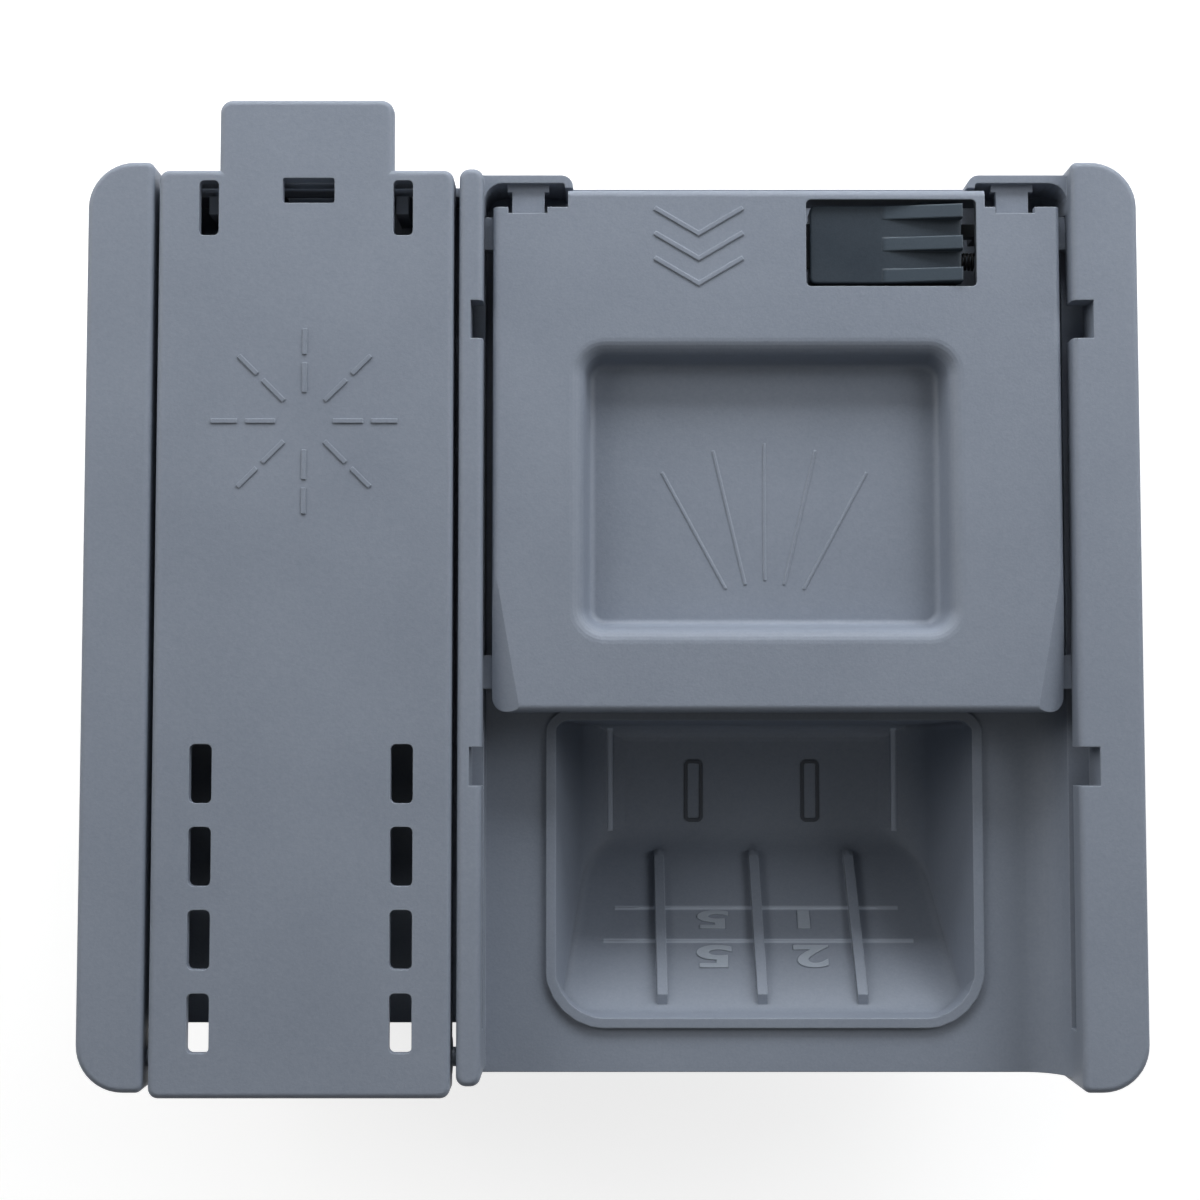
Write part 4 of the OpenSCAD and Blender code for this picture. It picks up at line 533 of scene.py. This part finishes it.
wire_steel = drawn_metal("spring_wire", (0.42, 0.43, 0.45), (0.62, 0.63, 0.65), 6000.0, 0.000008, (0.22, 0.36))
hook_y, anchor_y, spring_z = 0.0125, 0.0615, 0.0472
coil_r, wire_r, hook_r = 0.0019, 0.0004, 0.0016
coil_y0, coil_y1 = hook_y + 0.002, anchor_y - 0.002
for spring_name, spring_x in (("lid_spring_left", -0.01375), ("lid_spring_right", 0.06555)):
    coil = bmesh.new()
    coil_turns = round((coil_y1 - coil_y0) / (2.06 * wire_r))
    screwed(coil, (spring_x, coil_y0, spring_z), (0.0, 1.0, 0.0), coil_r, wire_r,
            (coil_y1 - coil_y0) / coil_turns, coil_turns, 16, first=(1.0, 0.0, 0.0))
    for peg_y, side in ((hook_y, 1.0), (anchor_y, -1.0)):
        # an eye of almost one turn round the peg
        screwed(coil, (spring_x, peg_y, spring_z), (0.0, 0.0, 1.0), hook_r, wire_r, 0.0, 0.94, 32,
                first=(0.0, side, 0.0))
    spring = finished(coil, spring_name + "_wire", wire_steel)
    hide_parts(spring_name)
    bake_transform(spring)


# Button spring, stem spring and rocker spring: small springs of stainless wire, each pressed or turned
# between the moving piece and what carries it.
button_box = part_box("button_spring")
button_coil = bmesh.new()
button_axis_y = (button_box[0].y + button_box[1].y) / 2
button_axis_z = (button_box[0].z + button_box[1].z) / 2
button_len = button_box[1].x - button_box[0].x
screwed(button_coil, (button_box[0].x + 0.0002, button_axis_y, button_axis_z), (1.0, 0.0, 0.0), 0.0013, 0.0002,
        (button_len - 0.0004) / 4, 4, 20)
# The button spring is made near-black: painted shade, so that the gap beside the button stays dark.
shade_black_wire = drawn_metal("black_wire_painted_shade", (0.02, 0.02, 0.022), (0.06, 0.06, 0.062), 6000.0, 0.000008, (0.4, 0.6))
button_spring = finished(button_coil, "button_spring_wire", shade_black_wire)
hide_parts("button_spring")
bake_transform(button_spring)

stem_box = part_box("stem_spring")
stem_coil = bmesh.new()
stem_x = (stem_box[0].x + stem_box[1].x) / 2
stem_z = (stem_box[0].z + stem_box[1].z) / 2
stem_len = stem_box[1].y - stem_box[0].y
screwed(stem_coil, (stem_x, stem_box[0].y + 0.0003, stem_z), (0.0, 1.0, 0.0), 0.0033, 0.0003,
        (stem_len - 0.0006) / 4, 4, 24)
stem_spring = finished(stem_coil, "stem_spring_wire", wire_steel)
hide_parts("stem_spring")
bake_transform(stem_spring)


# Torsion spring round the rocker's shaft: five turns of 0.7 mm wire. Its bent leg lies against the drive arm and
# moves with it, and its straight leg rests under the floor of the bay.
def rod(mesh, start, end, radius):
    """A straight round wire between two points."""
    run = Vector(end) - Vector(start)
    place = Matrix.Translation((Vector(start) + Vector(end)) / 2) @ Vector((0, 0, 1)).rotation_difference(run).to_matrix().to_4x4()
    bmesh.ops.create_cone(mesh, cap_ends=True, segments=8, radius1=radius, radius2=radius, depth=run.length, matrix=place)


torsion_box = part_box("rocker_spring")
shaft_y, torsion_r, torsion_wire = 0.016, 0.0033, 0.00035
torsion_x = torsion_box[0].x + 0.003
shaft_z = torsion_box[1].z - torsion_r - torsion_wire
arm_z = torsion_box[0].z + torsion_wire
arm_y = shaft_y + 0.0011 + torsion_wire
torsion = bmesh.new()
screwed(torsion, (torsion_x, shaft_y, shaft_z), (1.0, 0.0, 0.0), torsion_r, torsion_wire, 0.0007, 5.25, 24, first=(0.0, 1.0, 0.0))
rod(torsion, (torsion_x, shaft_y + torsion_r, shaft_z + 0.0002), (torsion_x, arm_y, arm_z), torsion_wire)
rod(torsion, (torsion_x + torsion_wire, arm_y, arm_z), (torsion_x - 0.003, arm_y, arm_z), torsion_wire)
straight_x = torsion_x + 5.25 * 0.0007
rod(torsion, (straight_x, shaft_y - 0.0002, shaft_z + torsion_r), (straight_x, shaft_y + 0.0118, shaft_z + torsion_r), torsion_wire)
torsion_spring = finished(torsion, "rocker_spring_wire", wire_steel)
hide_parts("rocker_spring")
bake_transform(torsion_spring)


# Screws of the rear cover: four pan-head self-tapping screws with a cross recess, 3 mm, zinc-plated.
for screw_number, (screw_x, screw_y) in enumerate(
        [(x, y) for x in (-0.0176, 0.0651) for y in (-0.0104, 0.0564)], 1):
    screw = bmesh.new()
    head_r, head_h, recess_half, recess_r, recess_d = 0.0027, 0.0011, 0.00042, 0.0016, 0.0008
    bmesh.ops.create_circle(screw, cap_ends=True, radius=head_r, segments=32)
    disc = list(screw.faces)
    raised = bmesh.ops.extrude_face_region(screw, geom=disc)["geom"]
    top_verts = [v for v in raised if isinstance(v, bmesh.types.BMVert)]
    bmesh.ops.translate(screw, verts=top_verts, vec=(0.0, 0.0, head_h))
    rim = [e for e in screw.edges if all(v.co.z > head_h / 2 for v in e.verts)]
    bmesh.ops.bevel(screw, geom=rim, offset=0.0006, segments=4, profile=0.6, affect="EDGES", material=-1)
    crown = max(screw.faces, key=lambda f: f.calc_area() if f.normal.z > 0.9 else 0.0)
    bmesh.ops.inset_region(screw, faces=[crown], thickness=max(0.00005, 0.0021 - recess_r))
    crown = max((f for f in screw.faces if f.normal.z > 0.9), key=lambda f: f.calc_area())
    for plane in ((1, 0), (0, 1)):
        for half in (-recess_half, recess_half):
            inner = [f for f in screw.faces if f.normal.z > 0.9 and f.calc_center_median().xy.length < recess_r]
            geometry = set(inner)
            for f in inner:
                geometry.update(f.edges)
                geometry.update(f.verts)
            bmesh.ops.bisect_plane(screw, geom=list(geometry), plane_co=(plane[0] * half, plane[1] * half, 0.0),
                                   plane_no=(*plane, 0.0), dist=1e-7)
    cross = [f for f in screw.faces if f.normal.z > 0.9 and f.calc_center_median().xy.length < recess_r
             and min(abs(f.calc_center_median().x), abs(f.calc_center_median().y)) < recess_half * 0.9]
    sunk = bmesh.ops.extrude_face_region(screw, geom=cross)["geom"]
    bmesh.ops.delete(screw, geom=cross, context="FACES")
    floor_verts = [v for v in sunk if isinstance(v, bmesh.types.BMVert)]
    bmesh.ops.translate(screw, verts=floor_verts, vec=(0.0, 0.0, -recess_d))
    bmesh.ops.scale(screw, verts=floor_verts, vec=(0.55, 0.55, 1.0))
    shank = bmesh.ops.create_cone(screw, cap_ends=True, segments=24, radius1=0.0013, radius2=0.0013, depth=0.008)
    bmesh.ops.translate(screw, verts=shank["verts"], vec=(0.0, 0.0, -0.004))
    # the head looks down, out of the rear cover
    bmesh.ops.rotate(screw, verts=screw.verts, cent=(0.0, 0.0, 0.0), matrix=Matrix.Rotation(pi, 3, "X"))
    bmesh.ops.translate(screw, verts=screw.verts, vec=(screw_x, screw_y, 0.0012))
    screw_piece = finished(screw, "rear_screw_%d" % screw_number, steel)
    for polygon in screw_piece.data.polygons:
        polygon.use_smooth = False
    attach(screw_piece, "chassis")
    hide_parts("cover_screws")
